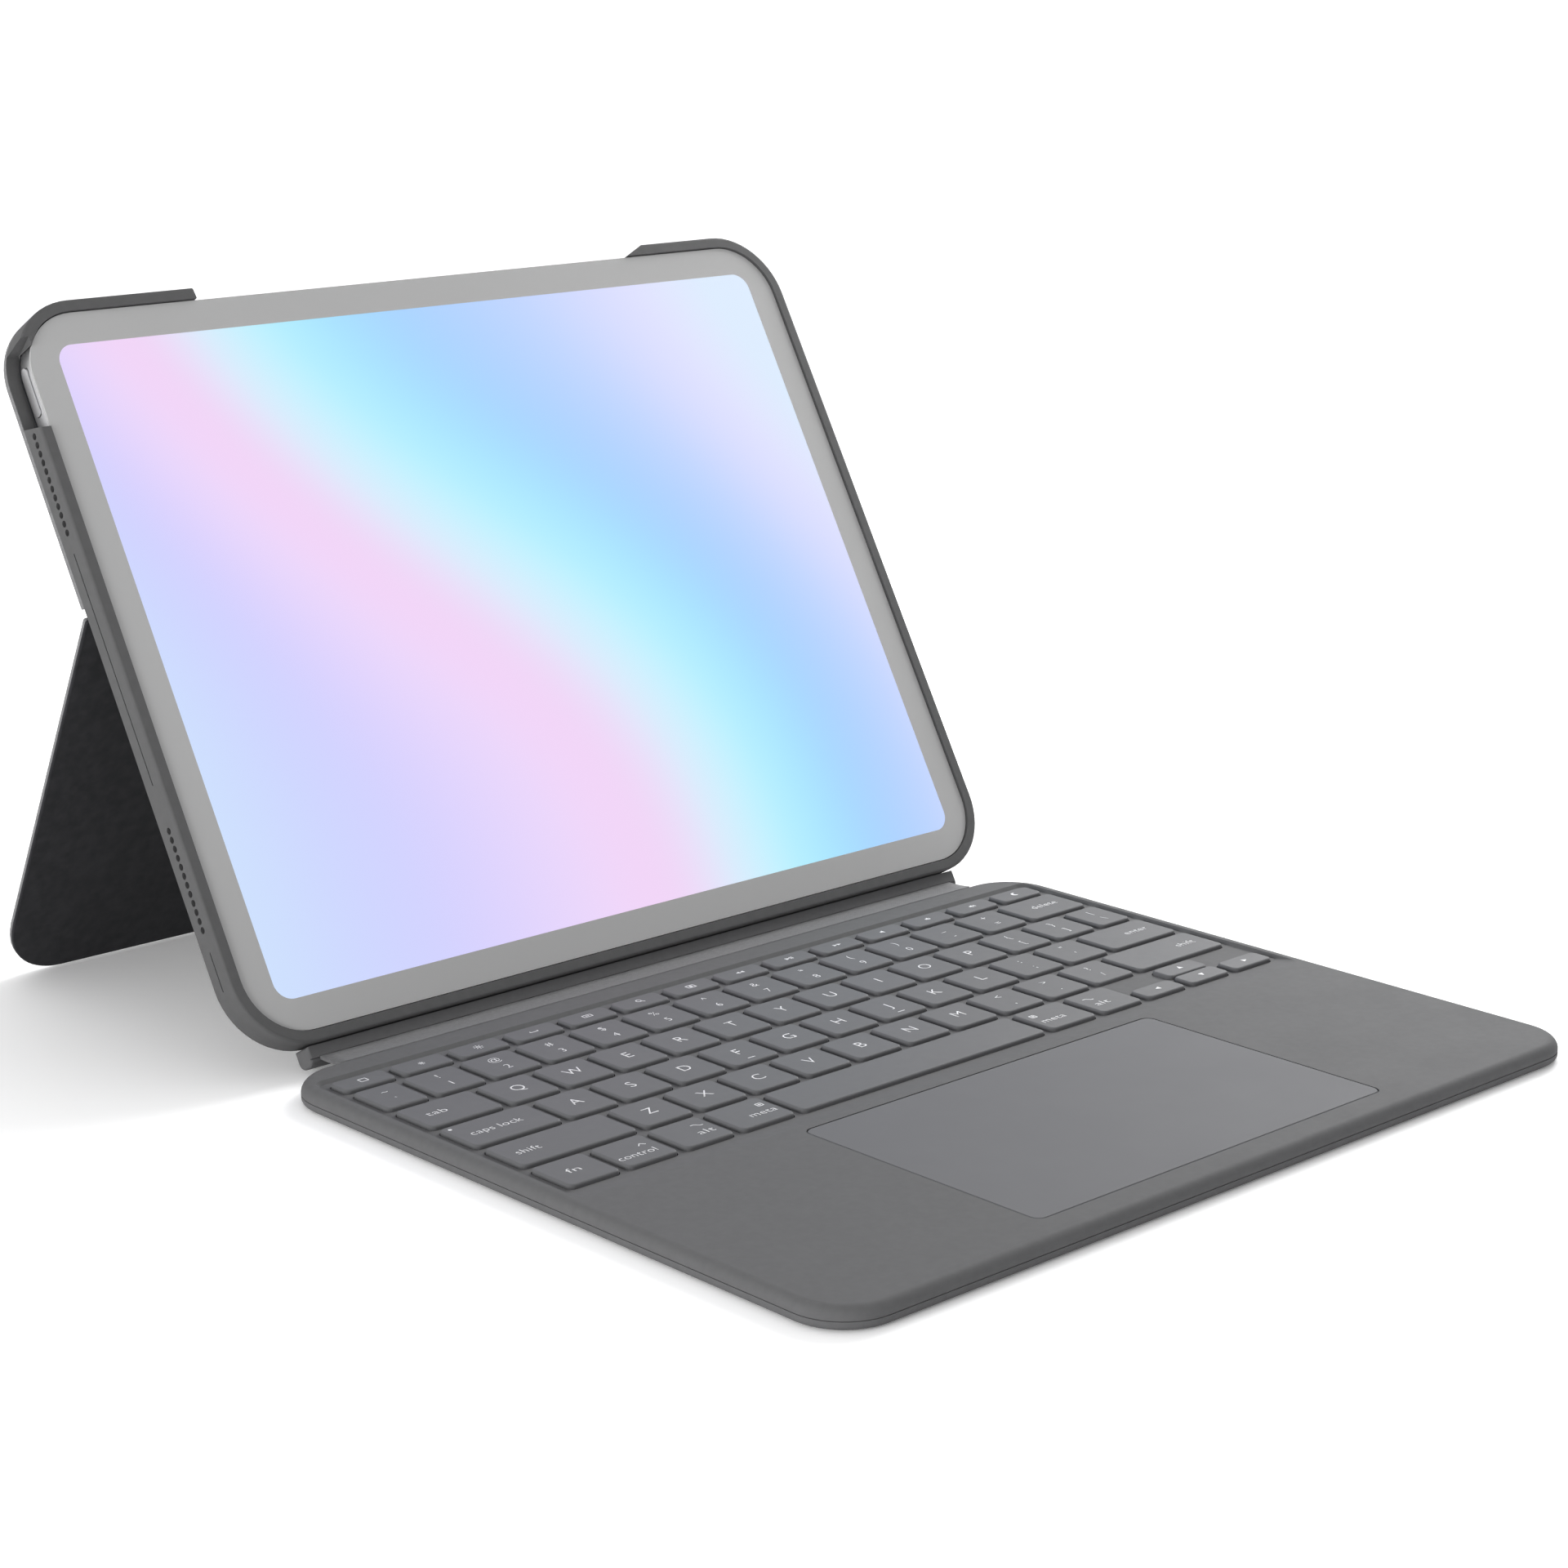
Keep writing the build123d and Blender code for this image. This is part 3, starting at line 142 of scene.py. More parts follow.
# ---- materials ----
class Finish:
    """A principled material with object-space texture on it."""

    def __init__(self, name, colour, roughness, metallic=0.0, specular=0.5, sheen=0.0, coat=0.0):
        self.material = bpy.data.materials.new(name)
        self.material.use_nodes = True
        self.tree = self.material.node_tree
        self.shader = self.tree.nodes["Principled BSDF"]
        self.colour = colour
        self.shader.inputs["Base Color"].default_value = (*colour, 1.0)
        self.shader.inputs["Roughness"].default_value = roughness
        self.shader.inputs["Metallic"].default_value = metallic
        self.shader.inputs["Specular IOR Level"].default_value = specular
        self.shader.inputs["Sheen Weight"].default_value = sheen
        self.shader.inputs["Sheen Roughness"].default_value = 0.5
        self.shader.inputs["Coat Weight"].default_value = coat
        self.place = self.tree.nodes.new("ShaderNodeTexCoord")
        self.bump = None

    def node(self, kind, **values):
        made = self.tree.nodes.new(kind)
        for key, value in values.items():
            made.inputs[key].default_value = value
        return made

    def link(self, a, b):
        self.tree.links.new(a, b)

    def noise(self, scale, detail=2.0, stretch=(1.0, 1.0, 1.0)):
        mapping = self.node("ShaderNodeMapping")
        mapping.inputs["Scale"].default_value = stretch
        self.link(self.place.outputs["Object"], mapping.inputs["Vector"])
        noise = self.node("ShaderNodeTexNoise", Scale=scale, Detail=detail)
        self.link(mapping.outputs["Vector"], noise.inputs["Vector"])
        return noise.outputs["Fac"]

    def mottle(self, scale, spread, detail=3.0):
        """Uneven colour: the base colour lightened and darkened by a noise."""
        ramp = self.node("ShaderNodeValToRGB")
        low, high = ramp.color_ramp.elements
        low.position, high.position = 0.3, 0.7
        low.color = (*[c * (1 - spread) for c in self.colour], 1.0)
        high.color = (*[min(1.0, c * (1 + spread)) for c in self.colour], 1.0)
        self.link(self.noise(scale, detail), ramp.inputs["Fac"])
        self.link(ramp.outputs["Color"], self.shader.inputs["Base Color"])
        return self

    def vary_roughness(self, scale, low, high):
        span = self.node("ShaderNodeMapRange")
        span.inputs["To Min"].default_value = low
        span.inputs["To Max"].default_value = high
        self.link(self.noise(scale), span.inputs["Value"])
        self.link(span.outputs["Result"], self.shader.inputs["Roughness"])
        return self

    def add_height(self, output, strength, distance):
        bump = self.node("ShaderNodeBump", Strength=strength, Distance=distance)
        self.link(output, bump.inputs["Height"])
        if self.bump:
            self.link(self.bump.outputs["Normal"], bump.inputs["Normal"])
        self.bump = bump
        self.link(bump.outputs["Normal"], self.shader.inputs["Normal"])
        return self

    def grain(self, scale, strength, distance=0.00003, detail=2.0, stretch=(1.0, 1.0, 1.0)):
        return self.add_height(self.noise(scale, detail, stretch), strength, distance)

    def weave(self, pitch, strength, distance=0.00006, tilt=0.0):
        """Two crossing sets of threads, a pitch apart in metres, on the plane tilted about X."""
        turn = self.node("ShaderNodeMapping")
        turn.inputs["Rotation"].default_value = (tilt, 0.0, 0.0)
        self.link(self.place.outputs["Object"], turn.inputs["Vector"])
        split = self.node("ShaderNodeSeparateXYZ")
        self.link(turn.outputs["Vector"], split.inputs["Vector"])
        waves = []
        for axis in "XY":
            scaled = self.node("ShaderNodeMath")
            scaled.operation = "MULTIPLY"
            scaled.inputs[1].default_value = 2 * math.pi / pitch
            self.link(split.outputs[axis], scaled.inputs[0])
            wave = self.node("ShaderNodeMath")
            wave.operation = "SINE"
            self.link(scaled.outputs[0], wave.inputs[0])
            waves.append(wave)
        cross = self.node("ShaderNodeMath")
        cross.operation = "MULTIPLY"
        self.link(waves[0].outputs[0], cross.inputs[0])
        self.link(waves[1].outputs[0], cross.inputs[1])
        return self.add_height(cross.outputs[0], strength, distance)


deck_skin = Finish("deck_skin", (0.113, 0.113, 0.115), 0.65, specular=0.03)
deck_skin.mottle(420.0, 0.035).vary_roughness(60.0, 0.6, 0.7).grain(5200.0, 0.25, 0.00002)
key_skin = Finish("key_skin", (0.124, 0.125, 0.129), 0.6, specular=0.05)
key_skin.mottle(300.0, 0.02).vary_roughness(90.0, 0.5, 0.58).grain(6500.0, 0.15, 0.00001)
pad_skin = Finish("pad_skin", (0.132, 0.133, 0.139), 0.6, specular=0.03)
pad_skin.mottle(90.0, 0.012).vary_roughness(40.0, 0.55, 0.62).grain(9000.0, 0.06, 0.00001)
shell_skin = Finish("shell_skin", (0.088, 0.088, 0.089), 0.6, specular=0.1)
shell_skin.mottle(350.0, 0.04).vary_roughness(70.0, 0.54, 0.66).grain(4200.0, 0.3, 0.00002)
cloth = Finish("cover_cloth", (0.17, 0.17, 0.174), 0.8, specular=0.25, sheen=0.08)
cloth.mottle(900.0, 0.12).weave(0.0007, 0.6, tilt=-SLOPE).grain(3000.0, 0.2)
hinge_cloth = Finish("hinge_cloth", (0.125, 0.125, 0.128), 0.75, specular=0.25, sheen=0.05)
hinge_cloth.mottle(900.0, 0.1).weave(0.0006, 0.4).grain(3000.0, 0.2)
microfibre = Finish("microfibre", (0.021, 0.021, 0.0235), 0.9, specular=0.2, sheen=0.06)
microfibre.mottle(260.0, 0.22).grain(7000.0, 0.5, 0.00005)
steel = Finish("hinge_steel", (0.56, 0.56, 0.57), 0.35, metallic=1.0)
steel.mottle(200.0, 0.06).grain(1500.0, 0.15, 0.00001, stretch=(0.05, 1.0, 1.0))
film = Finish("circuit_film", (0.36, 0.2, 0.05), 0.4, coat=0.2)
film.mottle(500.0, 0.15).grain(2500.0, 0.1)
silicone = Finish("dome_silicone", (0.3, 0.3, 0.3), 0.55)
silicone.mottle(700.0, 0.08).grain(4000.0, 0.1)
nickel = Finish("magnet_nickel", (0.62, 0.61, 0.58), 0.22, metallic=1.0)
nickel.mottle(600.0, 0.04).vary_roughness(800.0, 0.18, 0.3)
gold = Finish("contact_gold", (0.83, 0.62, 0.26), 0.25, metallic=1.0)
gold.mottle(900.0, 0.05).vary_roughness(900.0, 0.2, 0.32)
black = Finish("black_polymer", (0.02, 0.02, 0.021), 0.5)
black.mottle(500.0, 0.15).grain(3500.0, 0.2)
board = Finish("circuit_board", (0.02, 0.1, 0.045), 0.35, coat=0.3)
board.mottle(1500.0, 0.35).grain(1800.0, 0.2)
silver = Finish("tablet_silver", (0.66, 0.66, 0.67), 0.38, metallic=1.0)
silver.mottle(1200.0, 0.02).grain(9000.0, 0.1, 0.00001)
bezel = Finish("bezel_border", (0.375, 0.375, 0.375), 0.6, specular=0.03)
bezel.mottle(30.0, 0.004).vary_roughness(30.0, 0.53, 0.57)
legend_ink = Finish("legend_ink", (0.6, 0.6, 0.61), 0.5, specular=0.2)
legend_ink.mottle(2500.0, 0.04)
# near-black sheet colour: painted shade for the dark seen through the case's speaker holes
painted_hole_shade = Finish("speaker_hole_shade", (0.008, 0.008, 0.008), 0.9, specular=0.1)
painted_hole_shade.mottle(3000.0, 0.3).grain(6000.0, 0.5)
lens_glass = Finish("lens_glass", (0.008, 0.009, 0.014), 0.06, specular=0.6, coat=0.6)
lens_glass.mottle(300.0, 0.3)
flash_lens = Finish("flash_lens", (0.75, 0.7, 0.55), 0.3, coat=0.4)
flash_lens.mottle(2500.0, 0.15)

# ---- the lit screen: a plain abstract blend of soft pastel bands ----
screen = Finish("lit_screen", (0.0, 0.0, 0.0), 0.25, specular=0.15)
flat = screen.node("ShaderNodeMapping")
flat.inputs["Rotation"].default_value = (-SLOPE, 0.0, 0.0)
origin = Matrix.Rotation(-SLOPE, 3, "X") @ (GLASS * MM)
flat.inputs["Location"].default_value = -origin
screen.link(screen.place.outputs["Object"], flat.inputs["Vector"])
unit = screen.node("ShaderNodeMapping")
unit.inputs["Scale"].default_value = (1 / (DISPLAY_W * MM), 1 / (DISPLAY_W * MM), 0.0)
unit.inputs["Location"].default_value = (0.5, 0.0, 0.0)
screen.link(flat.outputs["Vector"], unit.inputs["Vector"])
sway = screen.node("ShaderNodeTexNoise", Scale=1.1, Detail=0.0)
screen.link(unit.outputs["Vector"], sway.inputs["Vector"])
slant = screen.node("ShaderNodeVectorMath")
slant.operation = "DOT_PRODUCT"
slant.inputs[1].default_value = (1.0, 0.42, 0.0)
screen.link(unit.outputs["Vector"], slant.inputs[0])
bend = screen.node("ShaderNodeMath")
bend.operation = "MULTIPLY_ADD"
bend.inputs[1].default_value = 0.75
screen.link(sway.outputs["Fac"], bend.inputs[0])
screen.link(slant.outputs["Value"], bend.inputs[2])
bands = screen.node("ShaderNodeValToRGB")
bands.color_ramp.interpolation = "B_SPLINE"
stops = (
    (0.22, (0.62, 0.78, 0.98)),
    (0.34, (0.60, 0.60, 1.0)),
    (0.43, (0.86, 0.70, 0.96)),
    (0.5, (0.90, 0.62, 0.90)),
    (0.56, (0.72, 0.86, 0.98)),
    (0.64, (0.42, 0.90, 1.0)),
    (0.74, (0.36, 0.62, 1.0)),
    (0.84, (0.52, 0.66, 1.0)),
    (0.93, (0.78, 0.74, 0.98)),
    (1.0, (0.70, 0.84, 0.97)),
)
ramp = bands.color_ramp
ramp.elements[0].position, ramp.elements[0].color = stops[0][0], (*stops[0][1], 1.0)
ramp.elements[1].position, ramp.elements[1].color = stops[-1][0], (*stops[-1][1], 1.0)
for place, colour in stops[1:-1]:
    ramp.elements.new(place).color = (*colour, 1.0)
shrink = screen.node("ShaderNodeMath")
shrink.operation = "MULTIPLY"
shrink.inputs[1].default_value = 0.6
screen.link(bend.outputs[0], shrink.inputs[0])
screen.link(shrink.outputs[0], bands.inputs["Fac"])
screen.link(bands.outputs["Color"], screen.shader.inputs["Emission Color"])
screen.shader.inputs["Emission Strength"].default_value = 1.0

SLOT_FINISH = {
    "deck_fabric": deck_skin,
    "hinge_cloth": hinge_cloth,
    "panel_cloth": cloth,
    "shell_polymer": shell_skin,
    "dark_lining": microfibre,
    "key_plastic": key_skin,
    "trackpad_surface": pad_skin,
    "hinge_steel": steel,
    "membrane_film": film,
    "dome_rubber": silicone,
    "magnet_plating": nickel,
    "contact_gold": gold,
    "black_polymer": black,
    "circuit_board": board,
    "tablet_metal": silver,
    "bezel_glass": bezel,
    "display_screen": screen,
}
slot_of = {row["node"]: row["material_slot"] for row in frame["record"]["subparts"]}


def wear(obj, finish):
    """Puts one finish on a whole object."""
    obj.data.materials.clear()
    obj.data.materials.append(finish.material)


for name, obj in nodes.items():
    wear(obj, SLOT_FINISH[slot_of[name]])

# ---- helpers for the detail pieces ----
def as_object(name, mesh, body, finish):
    """Links a mesh as a piece with its finish, riding on body unless that is None."""
    obj = bpy.data.objects.new(name, mesh)
    scene.collection.objects.link(obj)
    wear(obj, finish)
    if body:
        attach(obj, body)
    return obj


def to_mesh(bm, name):
    mesh = bpy.data.meshes.new(name)
    bm.to_mesh(mesh)
    bm.free()
    return mesh


def closed_tube(rings, bm, name):
    """A mesh with four-sided faces between rings of vertices, smooth, and a flat face over each end."""
    for a, b in zip(rings, rings[1:]):
        for i in range(len(a)):
            j = (i + 1) % len(a)
            bm.faces.new((a[i], b[i], b[j], a[j]))
    bm.faces.new(rings[0][::-1])
    bm.faces.new(rings[-1])
    bmesh.ops.recalc_face_normals(bm, faces=bm.faces)
    mesh = to_mesh(bm, name)
    for polygon in mesh.polygons:
        polygon.use_smooth = len(polygon.vertices) == 4
    return mesh


# ---- key legends: each mark is a list of flat outlines, in mm about the key's centre ----
LEGEND_LIFT = 0.03
LEGEND_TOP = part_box("space_bar")[1].z / MM + LEGEND_LIFT
STROKE = 0.3


def ring(x, y, radius, thick, count=28):
    """A flat ring as a strip of four-sided outlines."""
    marks = []
    for i in range(count):
        a, b = (2 * math.pi * k / count for k in (i, i + 1))
        marks.append([
            (x + r * math.cos(t), y + r * math.sin(t))
            for r, t in ((radius, a), (radius, b), (radius - thick, b), (radius - thick, a))
        ])
    return marks


def bar(x0, y0, x1, y1, thick=STROKE):
    """A straight stroke between two points."""
    along = Vector((x1 - x0, y1 - y0)).normalized() * (thick / 2)
    side = Vector((-along.y, along.x))
    ends = ((x0, y0, 1), (x1, y1, 1), (x1, y1, -1), (x0, y0, -1))
    return [[(x + side.x * s, y + side.y * s) for x, y, s in ends]]


def frame_marks(x, y, w, h, thick=STROKE):
    """The four sides of a rectangle."""
    left, right, low, high = x - w / 2, x + w / 2, y - h / 2, y + h / 2
    return (
        bar(left, low, right, low, thick) + bar(left, high, right, high, thick)
        + bar(left, low, left, high, thick) + bar(right, low, right, high, thick)
    )


def arrow(x, y, size, angle):
    """A solid triangle pointing along angle, in degrees."""
    corners = [(size, 0.0), (-size * 0.6, size * 0.8), (-size * 0.6, -size * 0.8)]
    cos, sin = math.cos(math.radians(angle)), math.sin(math.radians(angle))
    return [[(x + a * cos - b * sin, y + a * sin + b * cos) for a, b in corners]]


def sun(x, y, size):
    """A ring with eight rays."""
    marks = ring(x, y, size * 0.45, 0.28)
    for i in range(8):
        t = math.radians(45 * i)
        marks += bar(
            x + 0.65 * size * math.cos(t), y + 0.65 * size * math.sin(t),
            x + size * math.cos(t), y + size * math.sin(t), 0.26,
        )
    return marks


def speaker(x, y, waves):
    """A loudspeaker with a number of straight waves beside it."""
    marks = [
        [(x - 1.0, y - 0.4), (x - 0.4, y - 0.4), (x - 0.4, y + 0.4), (x - 1.0, y + 0.4)],
        [(x - 0.4, y - 0.4), (x + 0.3, y - 1.0), (x + 0.3, y + 1.0), (x - 0.4, y + 0.4)],
    ]
    for i in range(waves):
        wave_x, reach = x + 0.75 + 0.5 * i, 0.45 + 0.25 * i
        marks += bar(wave_x, y - reach, wave_x, y + reach, 0.24)
    return marks


def arc(x, y, radius, angles):
    """Points round an arc, at angles in degrees."""
    turns = [math.radians(a) for a in angles]
    return [(x + radius * math.cos(t), y + radius * math.sin(t)) for t in turns]


def crescent(x, y, size):
    outer = arc(x, y, size, range(60, 301, 20))
    inner = arc(x + size * 0.45, y, size * 0.72, range(80, 281, 20))
    return [[outer[i], outer[i + 1], inner[i + 1], inner[i]] for i in range(len(inner) - 1)]


ICONS = (
    frame_marks(0, 0, 2.4, 2.0),
    sun(0, 0, 1.0),
    sun(0, 0, 1.5),
    bar(-1.3, -0.5, 1.3, -0.5) + bar(-1.3, -0.5, -1.3, 0.2) + bar(1.3, -0.5, 1.3, 0.2),
    frame_marks(0, 0, 3.0, 1.6) + bar(-0.7, 0, 0.7, 0),
    ring(-0.2, 0.3, 0.95, 0.28) + bar(0.5, -0.4, 1.2, -1.1, 0.32),
    frame_marks(0, 0, 2.8, 1.9, 0.34) + ring(0, 0, 0.6, 0.5),
    arrow(0.7, 0, 0.9, 180) + arrow(-0.9, 0, 0.9, 180),
    arrow(-0.8, 0, 1.0, 0) + bar(0.55, -0.8, 0.55, 0.8, 0.34) + bar(1.2, -0.8, 1.2, 0.8, 0.34),
    arrow(-0.7, 0, 0.9, 0) + arrow(0.9, 0, 0.9, 0),
    speaker(0, 0, 0),
    speaker(0, 0, 1),
    speaker(0, 0, 2),
    crescent(0, 0, 1.3),
)


# text heights, and how far baselines stand from a key's middle
LETTER_SIZE, SMALL_SIZE, WORD_SIZE = 5.7, 4.1, 3.9
LETTER_DROP, PAIR_RISE, PAIR_DROP = 1.7, 1.7, 4.6


def text_mesh(words, size):
    """Words in the built-in font as a flat mesh in mm, thinned a little and centred on their own box."""
    curve = bpy.data.curves.new("words", "FONT")
    curve.body = words
    curve.size = size
    curve.offset = -0.008 * size
    curve.space_character = 1.05
    curve.resolution_u = 3
    made = bpy.data.objects.new("words", curve)
    scene.collection.objects.link(made)
    bpy.context.view_layer.update()
    mesh = bpy.data.meshes.new_from_object(made.evaluated_get(bpy.context.evaluated_depsgraph_get()))
    bpy.data.objects.remove(made)
    xs = [v.co.x for v in mesh.vertices]
    middle = (min(xs) + max(xs)) / 2
    for v in mesh.vertices:
        v.co.x -= middle
    return mesh, max(xs) - min(xs)


class LegendSheet:
    """All the marks of one key group, as one thin raised mesh."""

    def __init__(self):
        self.bm = bmesh.new()

    def words(self, text, x, baseline, size, width=None, align=0):
        """Text at x: centred for align 0, ending there for 1, starting there for -1."""
        mesh, wide = text_mesh(text, size)
        scale = width / wide if width else 1.0
        shift = align * wide * scale / 2
        to_place = Matrix.Translation((x - shift, baseline, 0.0))
        mesh.transform(to_place @ Matrix.Diagonal((scale, 1.0, 1.0, 1.0)))
        self.bm.from_mesh(mesh)
        bpy.data.meshes.remove(mesh)

    def marks(self, outlines, x, y):
        for outline in outlines:
            self.bm.faces.new([self.bm.verts.new((x + a, y + b, 0.0)) for a, b in outline])

    def paired(self, upper, lower, x, y):
        """Two small marks, one above the other, on the key whose middle is (x, y)."""
        self.words(upper, x, y + PAIR_RISE, SMALL_SIZE)
        self.words(lower, x, y - PAIR_DROP, SMALL_SIZE)

    def finish(self, group):
        """Raises the marks off the key tops of a key group and makes them ride on it."""
        faces = list(self.bm.faces)
        bmesh.ops.recalc_face_normals(self.bm, faces=faces)
        for face in faces:
            if face.normal.z < 0:
                face.normal_flip()
        made = bmesh.ops.extrude_face_region(self.bm, geom=faces)
        for v in made["geom"]:
            if isinstance(v, bmesh.types.BMVert):
                v.co.z += LEGEND_LIFT
        mesh = to_mesh(self.bm, "legend_" + group)
        to_top = Matrix.Translation((0.0, 0.0, LEGEND_TOP - LEGEND_LIFT))
        mesh.transform(Matrix.Diagonal((MM, MM, MM, 1.0)) @ to_top)
        as_object("legend_" + group, mesh, group + "_body", legend_ink)


# key sizes and rows, as in the CAD; fronts are counted forward from the deck's rear edge
PITCH, KEY_W, KEY_D = 19.34, 16.9, 16.4
ROW_PITCH, NUMBER_FRONT = 18.8, 40.7
BLOCK_HALF_W = 136.3
FUNCTION_FRONT, FUNCTION_D, FUNCTION_GAP = 22.0, 8.1, 2.45
FUNCTION_SHIFT = 1.2
NUMBER_Y, UPPER_Y, HOME_Y, LOWER_Y, BOTTOM_Y = (
    REAR_Y - (NUMBER_FRONT + ROW_PITCH * i) + KEY_D / 2 for i in range(5)
)
FUNCTION_Y = REAR_Y - FUNCTION_FRONT + FUNCTION_D / 2

# right edge of the first key of each row, which is the wide or narrow one at its left end
NUMBER_X, UPPER_X, HOME_X, LOWER_X = -122.3, -111.95, -107.5, -97.75


def key_x(first_right, i):
    """Middle of the ordinary key i, counted from the one after the row's first."""
    return first_right + (i + 1) * PITCH - KEY_W / 2


sheet = LegendSheet()
function_pitch = (2 * BLOCK_HALF_W + FUNCTION_GAP) / len(ICONS)
for i, icon in enumerate(ICONS):
    sheet.marks(icon, -BLOCK_HALF_W + (i + 0.5) * function_pitch - FUNCTION_SHIFT, FUNCTION_Y)
sheet.finish("function_keys")

sheet = LegendSheet()
sheet.paired("~", "`", -129.3, NUMBER_Y)
for i, (upper, lower) in enumerate(zip("!@#$%^&*()_+", "1234567890-=")):
    sheet.paired(upper, lower, key_x(NUMBER_X, i), NUMBER_Y)
sheet.finish("number_keys")


def letter_row(first_right, middle, letters, pairs):
    """A sheet with a row's letters, and the paired marks of the keys after them."""
    row = LegendSheet()
    for i, letter in enumerate(letters):
        row.words(letter, key_x(first_right, i), middle - LETTER_DROP, LETTER_SIZE)
    for i, (upper, lower) in enumerate(pairs, len(letters)):
        row.paired(upper, lower, key_x(first_right, i), middle)
    return row


sheet = letter_row(UPPER_X, UPPER_Y, "QWERTYUIOP", ("{[", "}]"))
sheet.paired("|", "\\", 129.4, UPPER_Y)
sheet.finish("upper_letter_keys")

INDEX_FINGER_KEYS, INDEX_MARK_DROP = (3, 6), 5.6
sheet = letter_row(HOME_X, HOME_Y, "ASDFGHJKL", (":;", "\"'"))
for i in INDEX_FINGER_KEYS:
    sheet.marks(bar(-1.3, 0.0, 1.3, 0.0, 0.35), key_x(HOME_X, i), HOME_Y - INDEX_MARK_DROP)
sheet.finish("home_letter_keys")

letter_row(LOWER_X, LOWER_Y, "ZXCVBNM", ("<,", ">.", "?/")).finish("lower_letter_keys")

# a word on one key: text, x, side it is lined up on, width, row middle, height of the baseline from it
WORDS = {
    "delete_key": ("delete", 131.0, 1, 10.7, NUMBER_Y, -1.1),
    "tab_key": ("tab", -131.8, -1, 6.6, UPPER_Y, -1.2),
    "caps_lock_key": ("caps lock", -131.9, -1, 16.7, HOME_Y, -1.4),
    "return_key": ("enter", 131.2, 1, 9.6, HOME_Y, -1.1),
    "left_shift_key": ("shift", -132.0, -1, 7.7, LOWER_Y, -1.4),
    "right_shift_key": ("shift", 131.4, 1, 7.7, LOWER_Y, -1.2),
    "fn_key": ("fn", -128.8, 0, 4.2, BOTTOM_Y, -1.4),
    "control_key": ("control", -103.7, 1, 12.4, BOTTOM_Y, -4.1),
    "left_alt_key": ("alt", -83.2, 1, 5.4, BOTTOM_Y, -3.4),
    "left_meta_key": ("meta", -61.2, 1, 9.0, BOTTOM_Y, -3.2),
    "right_meta_key": ("meta", 41.9, -1, 9.0, BOTTOM_Y, -3.2),
    "right_alt_key": ("alt", 64.3, -1, 5.4, BOTTOM_Y, -3.2),
}
CARET = bar(-1.2, -0.7, 0.0, 0.6) + bar(0.0, 0.6, 1.2, -0.7)
STEP = bar(-1.6, 0.6, -0.5, 0.6) + bar(-0.5, 0.6, 0.8, -0.7) + bar(0.8, -0.7, 1.7, -0.7)
BOXED_DOT = frame_marks(0, 0, 1.8, 1.8) + ring(0, 0, 0.45, 0.3)
LOCK_LAMP = ring(0, 0, 0.55, 0.54)

# a sign over a word: marks, x, height over the row's middle
SIGNS = {
    "control_key": (CARET, -104.7, 1.9),
    "left_alt_key": (STEP, -85.0, 2.6),
    "left_meta_key": (BOXED_DOT, -62.6, 2.8),
    "right_meta_key": (BOXED_DOT, 43.1, 2.8),
    "right_alt_key": (STEP, 66.0, 2.6),
    "caps_lock_key": (LOCK_LAMP, -134.0, 5.8),
}
for key, (text, x, side, width, y, drop) in WORDS.items():
    sheet = LegendSheet()
    sheet.words(text, x, y + drop, WORD_SIZE, width, side)
    if key in SIGNS:
        marks, sign_x, rise = SIGNS[key]
        sheet.marks(marks, sign_x, y + rise)
    sheet.finish(key)

ARROW_SIZE = 1.1
for key, x, angle in (
    ("left_arrow_key", 88.9, 180), ("up_arrow_key", 108.3, 90),
    ("down_arrow_key", 108.3, 270), ("right_arrow_key", 127.8, 0),
):
    low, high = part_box(key)
    sheet = LegendSheet()
    sheet.marks(arrow(0, 0, ARROW_SIZE, angle), x, (low.y + high.y) / 2 / MM)
    sheet.finish(key)

# ---- fabric hinge: one strip, sagging a little, from the deck's rear ledge into the bar's seam ----
FABRIC_HALF_W, FABRIC_T = 123.8, 0.8
LEDGE, DECK_TOP = 1.8, 5.8
SEAM_B, SEAM_N = -17.0, -1.5
SAG, RIPPLE = 0.25, 0.03
STRIP_STEPS, STRIP_COLUMNS = 20, 60
ledge = Vector((0.0, REAR_Y - LEDGE, DECK_TOP))
seam = GLASS + UP * SEAM_B + OUT * SEAM_N


def strip_point(x, t, under):
    """A point at x, the share t of the way from ledge to seam, and under the strip's top face, in mm."""
    dip = -SAG * math.sin(math.pi * t) + RIPPLE * math.sin(x * 0.21 + 2.0 * t)
    y = ledge.y + (seam.y - ledge.y) * t
    z = ledge.z + (seam.z - ledge.z) * t
    return x * MM, y * MM, (z + dip - under) * MM


bm = bmesh.new()
shares = [k / STRIP_STEPS for k in range(STRIP_STEPS + 1)]
rings = []
for i in range(STRIP_COLUMNS + 1):
    x = -FABRIC_HALF_W + 2 * FABRIC_HALF_W * i / STRIP_COLUMNS
    top = [bm.verts.new(strip_point(x, t, 0.0)) for t in shares]
    rings.append(top + [bm.verts.new(strip_point(x, t, FABRIC_T)) for t in shares[::-1]])
strip = as_object("hinge_strip", closed_tube(rings, bm, "hinge_strip"), None, hinge_cloth)
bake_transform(strip)
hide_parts("hinge_fabric")
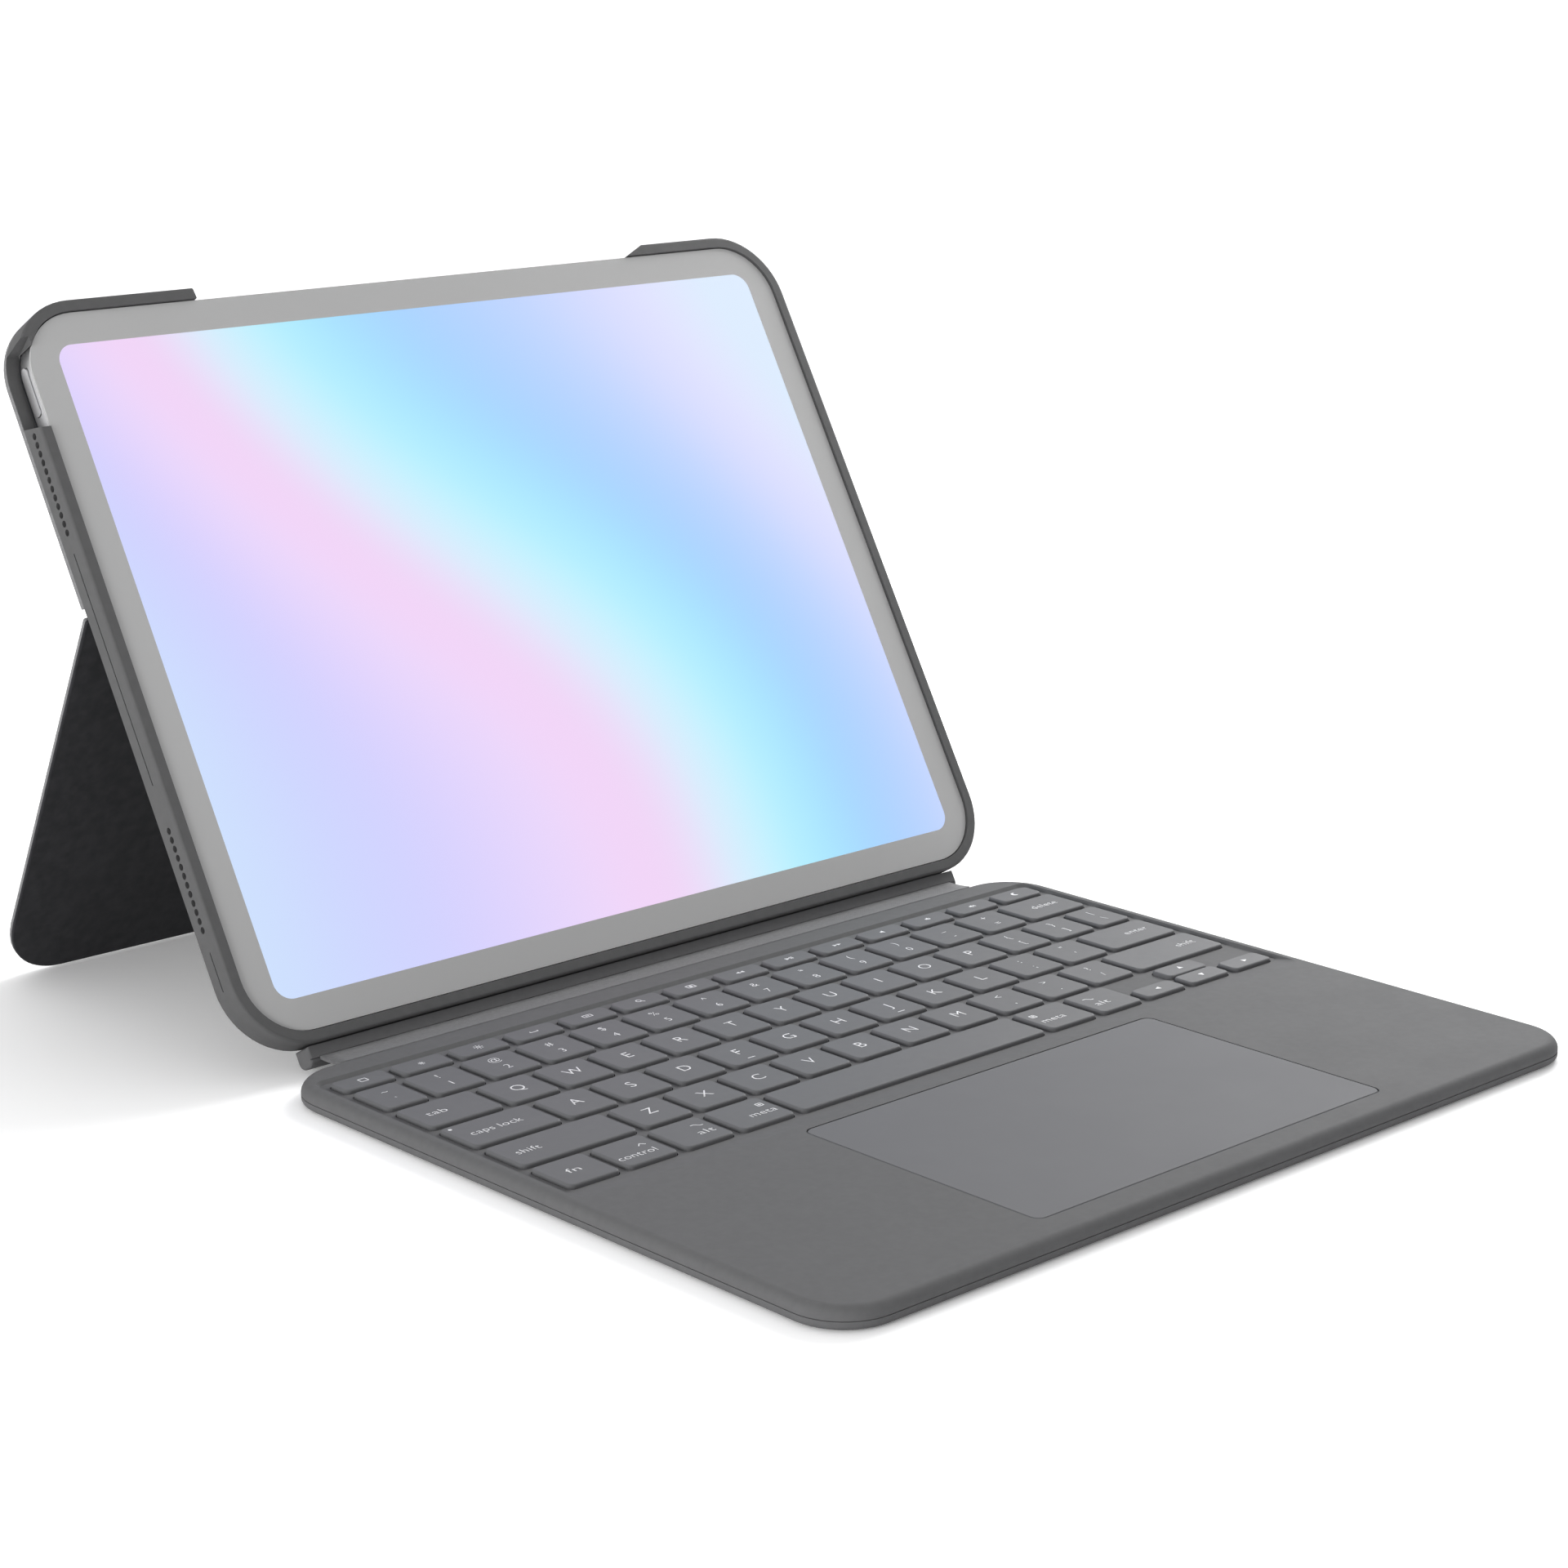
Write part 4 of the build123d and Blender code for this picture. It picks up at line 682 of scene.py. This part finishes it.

# ---- painted shade: near-black sheets on the tablet's sides, behind the case's rows of holes, so that the holes read dark ----
SPEAKER_SPANS_B = ((141.0, 174.6), (23.0, 56.5))
SPEAKER_FACES_X = (141.03, 141.22)
SPEAKER_BACK_N, SPEAKER_FRONT_N = -5.0, -2.4
SPEAKER_EDGE = 0.05
for side, name in ((-1, "speaker_mesh_left"), (1, "speaker_mesh_right")):
    bm = bmesh.new()
    for low, high in SPEAKER_SPANS_B:
        outline = (
            (low, SPEAKER_BACK_N), (high, SPEAKER_BACK_N), (high, SPEAKER_FRONT_N), (low, SPEAKER_FRONT_N),
        )
        inner, outer = (
            [bm.verts.new(on_case(side * face_x, b, n)) for b, n in outline] for face_x in SPEAKER_FACES_X
        )
        bm.faces.new(inner)
        bm.faces.new(outer)
        for i in range(4):
            j = (i + 1) % 4
            bm.faces.new((inner[i], inner[j], outer[j], outer[i]))
    bmesh.ops.recalc_face_normals(bm, faces=bm.faces)
    bmesh.ops.bevel(bm, geom=list(bm.edges), offset=SPEAKER_EDGE * MM, segments=2, affect="EDGES")
    as_object(name, to_mesh(bm, name), "tablet", painted_hole_shade)

# ---- lenses on the tablet's rear camera block, each turned about the glass's normal ----
CAMERA_X, CAMERA_B = -118.0, 183.0
LENS_SHIFT, FLASH_SHIFT = 3.5, -8.0
ROUND_SIDES = 48


def round_piece(name, shift, profile, finish):
    """Turns (radius, n) pairs about a centre, which is shifted both ways from the camera block's."""
    bm = bmesh.new()
    rows = []
    for radius, n in profile:
        rows.append([
            bm.verts.new(on_case(
                CAMERA_X + shift + radius * math.cos(2 * math.pi * i / ROUND_SIDES),
                CAMERA_B + shift + radius * math.sin(2 * math.pi * i / ROUND_SIDES), n,
            ))
            for i in range(ROUND_SIDES)
        ])
    as_object(name, closed_tube(rows, bm, name), "tablet", finish)


round_piece(
    "camera_lens_barrel", LENS_SHIFT,
    [(7.6, -8.55), (7.6, -9.2), (7.3, -9.5), (6.5, -9.5), (6.2, -9.2), (6.1, -8.9)],
    silver,
)
round_piece(
    "camera_lens_glass", LENS_SHIFT,
    [(5.9, -8.8), (5.9, -9.0), (4.2, -9.18), (2.2, -9.28), (0.8, -9.3)], lens_glass,
)
round_piece(
    "camera_flash", FLASH_SHIFT,
    [(2.4, -8.55), (2.4, -8.7), (2.0, -8.8), (0.6, -8.85)], flash_lens,
)

# ---- floor, which glows a little more away from the object so that its far part is white ----
FLOOR_HALF_W, FLOOR_DROP = 12.0, 0.0003
GLOW_NEAR, GLOW_FAR = 0.1, 0.5
GLOW_STARTS, GLOW_FULL = 0.2, 0.9
bm = bmesh.new()
bmesh.ops.create_grid(bm, x_segments=1, y_segments=1, size=FLOOR_HALF_W)
floor = bpy.data.objects.new("floor", to_mesh(bm, "floor"))
floor.location.z = -FLOOR_DROP
scene.collection.objects.link(floor)
floor_finish = Finish("floor_finish", (0.95, 0.95, 0.95), 0.9, specular=0.05)
floor_finish.mottle(2.0, 0.003)
floor_finish.shader.inputs["Emission Color"].default_value = (1.0, 1.0, 1.0, 1.0)
reach = floor_finish.node("ShaderNodeVectorMath")
reach.operation = "LENGTH"
floor_finish.link(floor_finish.place.outputs["Object"], reach.inputs[0])
fade = floor_finish.node("ShaderNodeMapRange")
fade.inputs["From Min"].default_value = GLOW_STARTS
fade.inputs["From Max"].default_value = GLOW_FULL
fade.inputs["To Min"].default_value = GLOW_NEAR
fade.inputs["To Max"].default_value = GLOW_FAR
floor_finish.link(reach.outputs["Value"], fade.inputs["Value"])
floor_finish.link(fade.outputs["Result"], floor_finish.shader.inputs["Emission Strength"])
wear(floor, floor_finish)
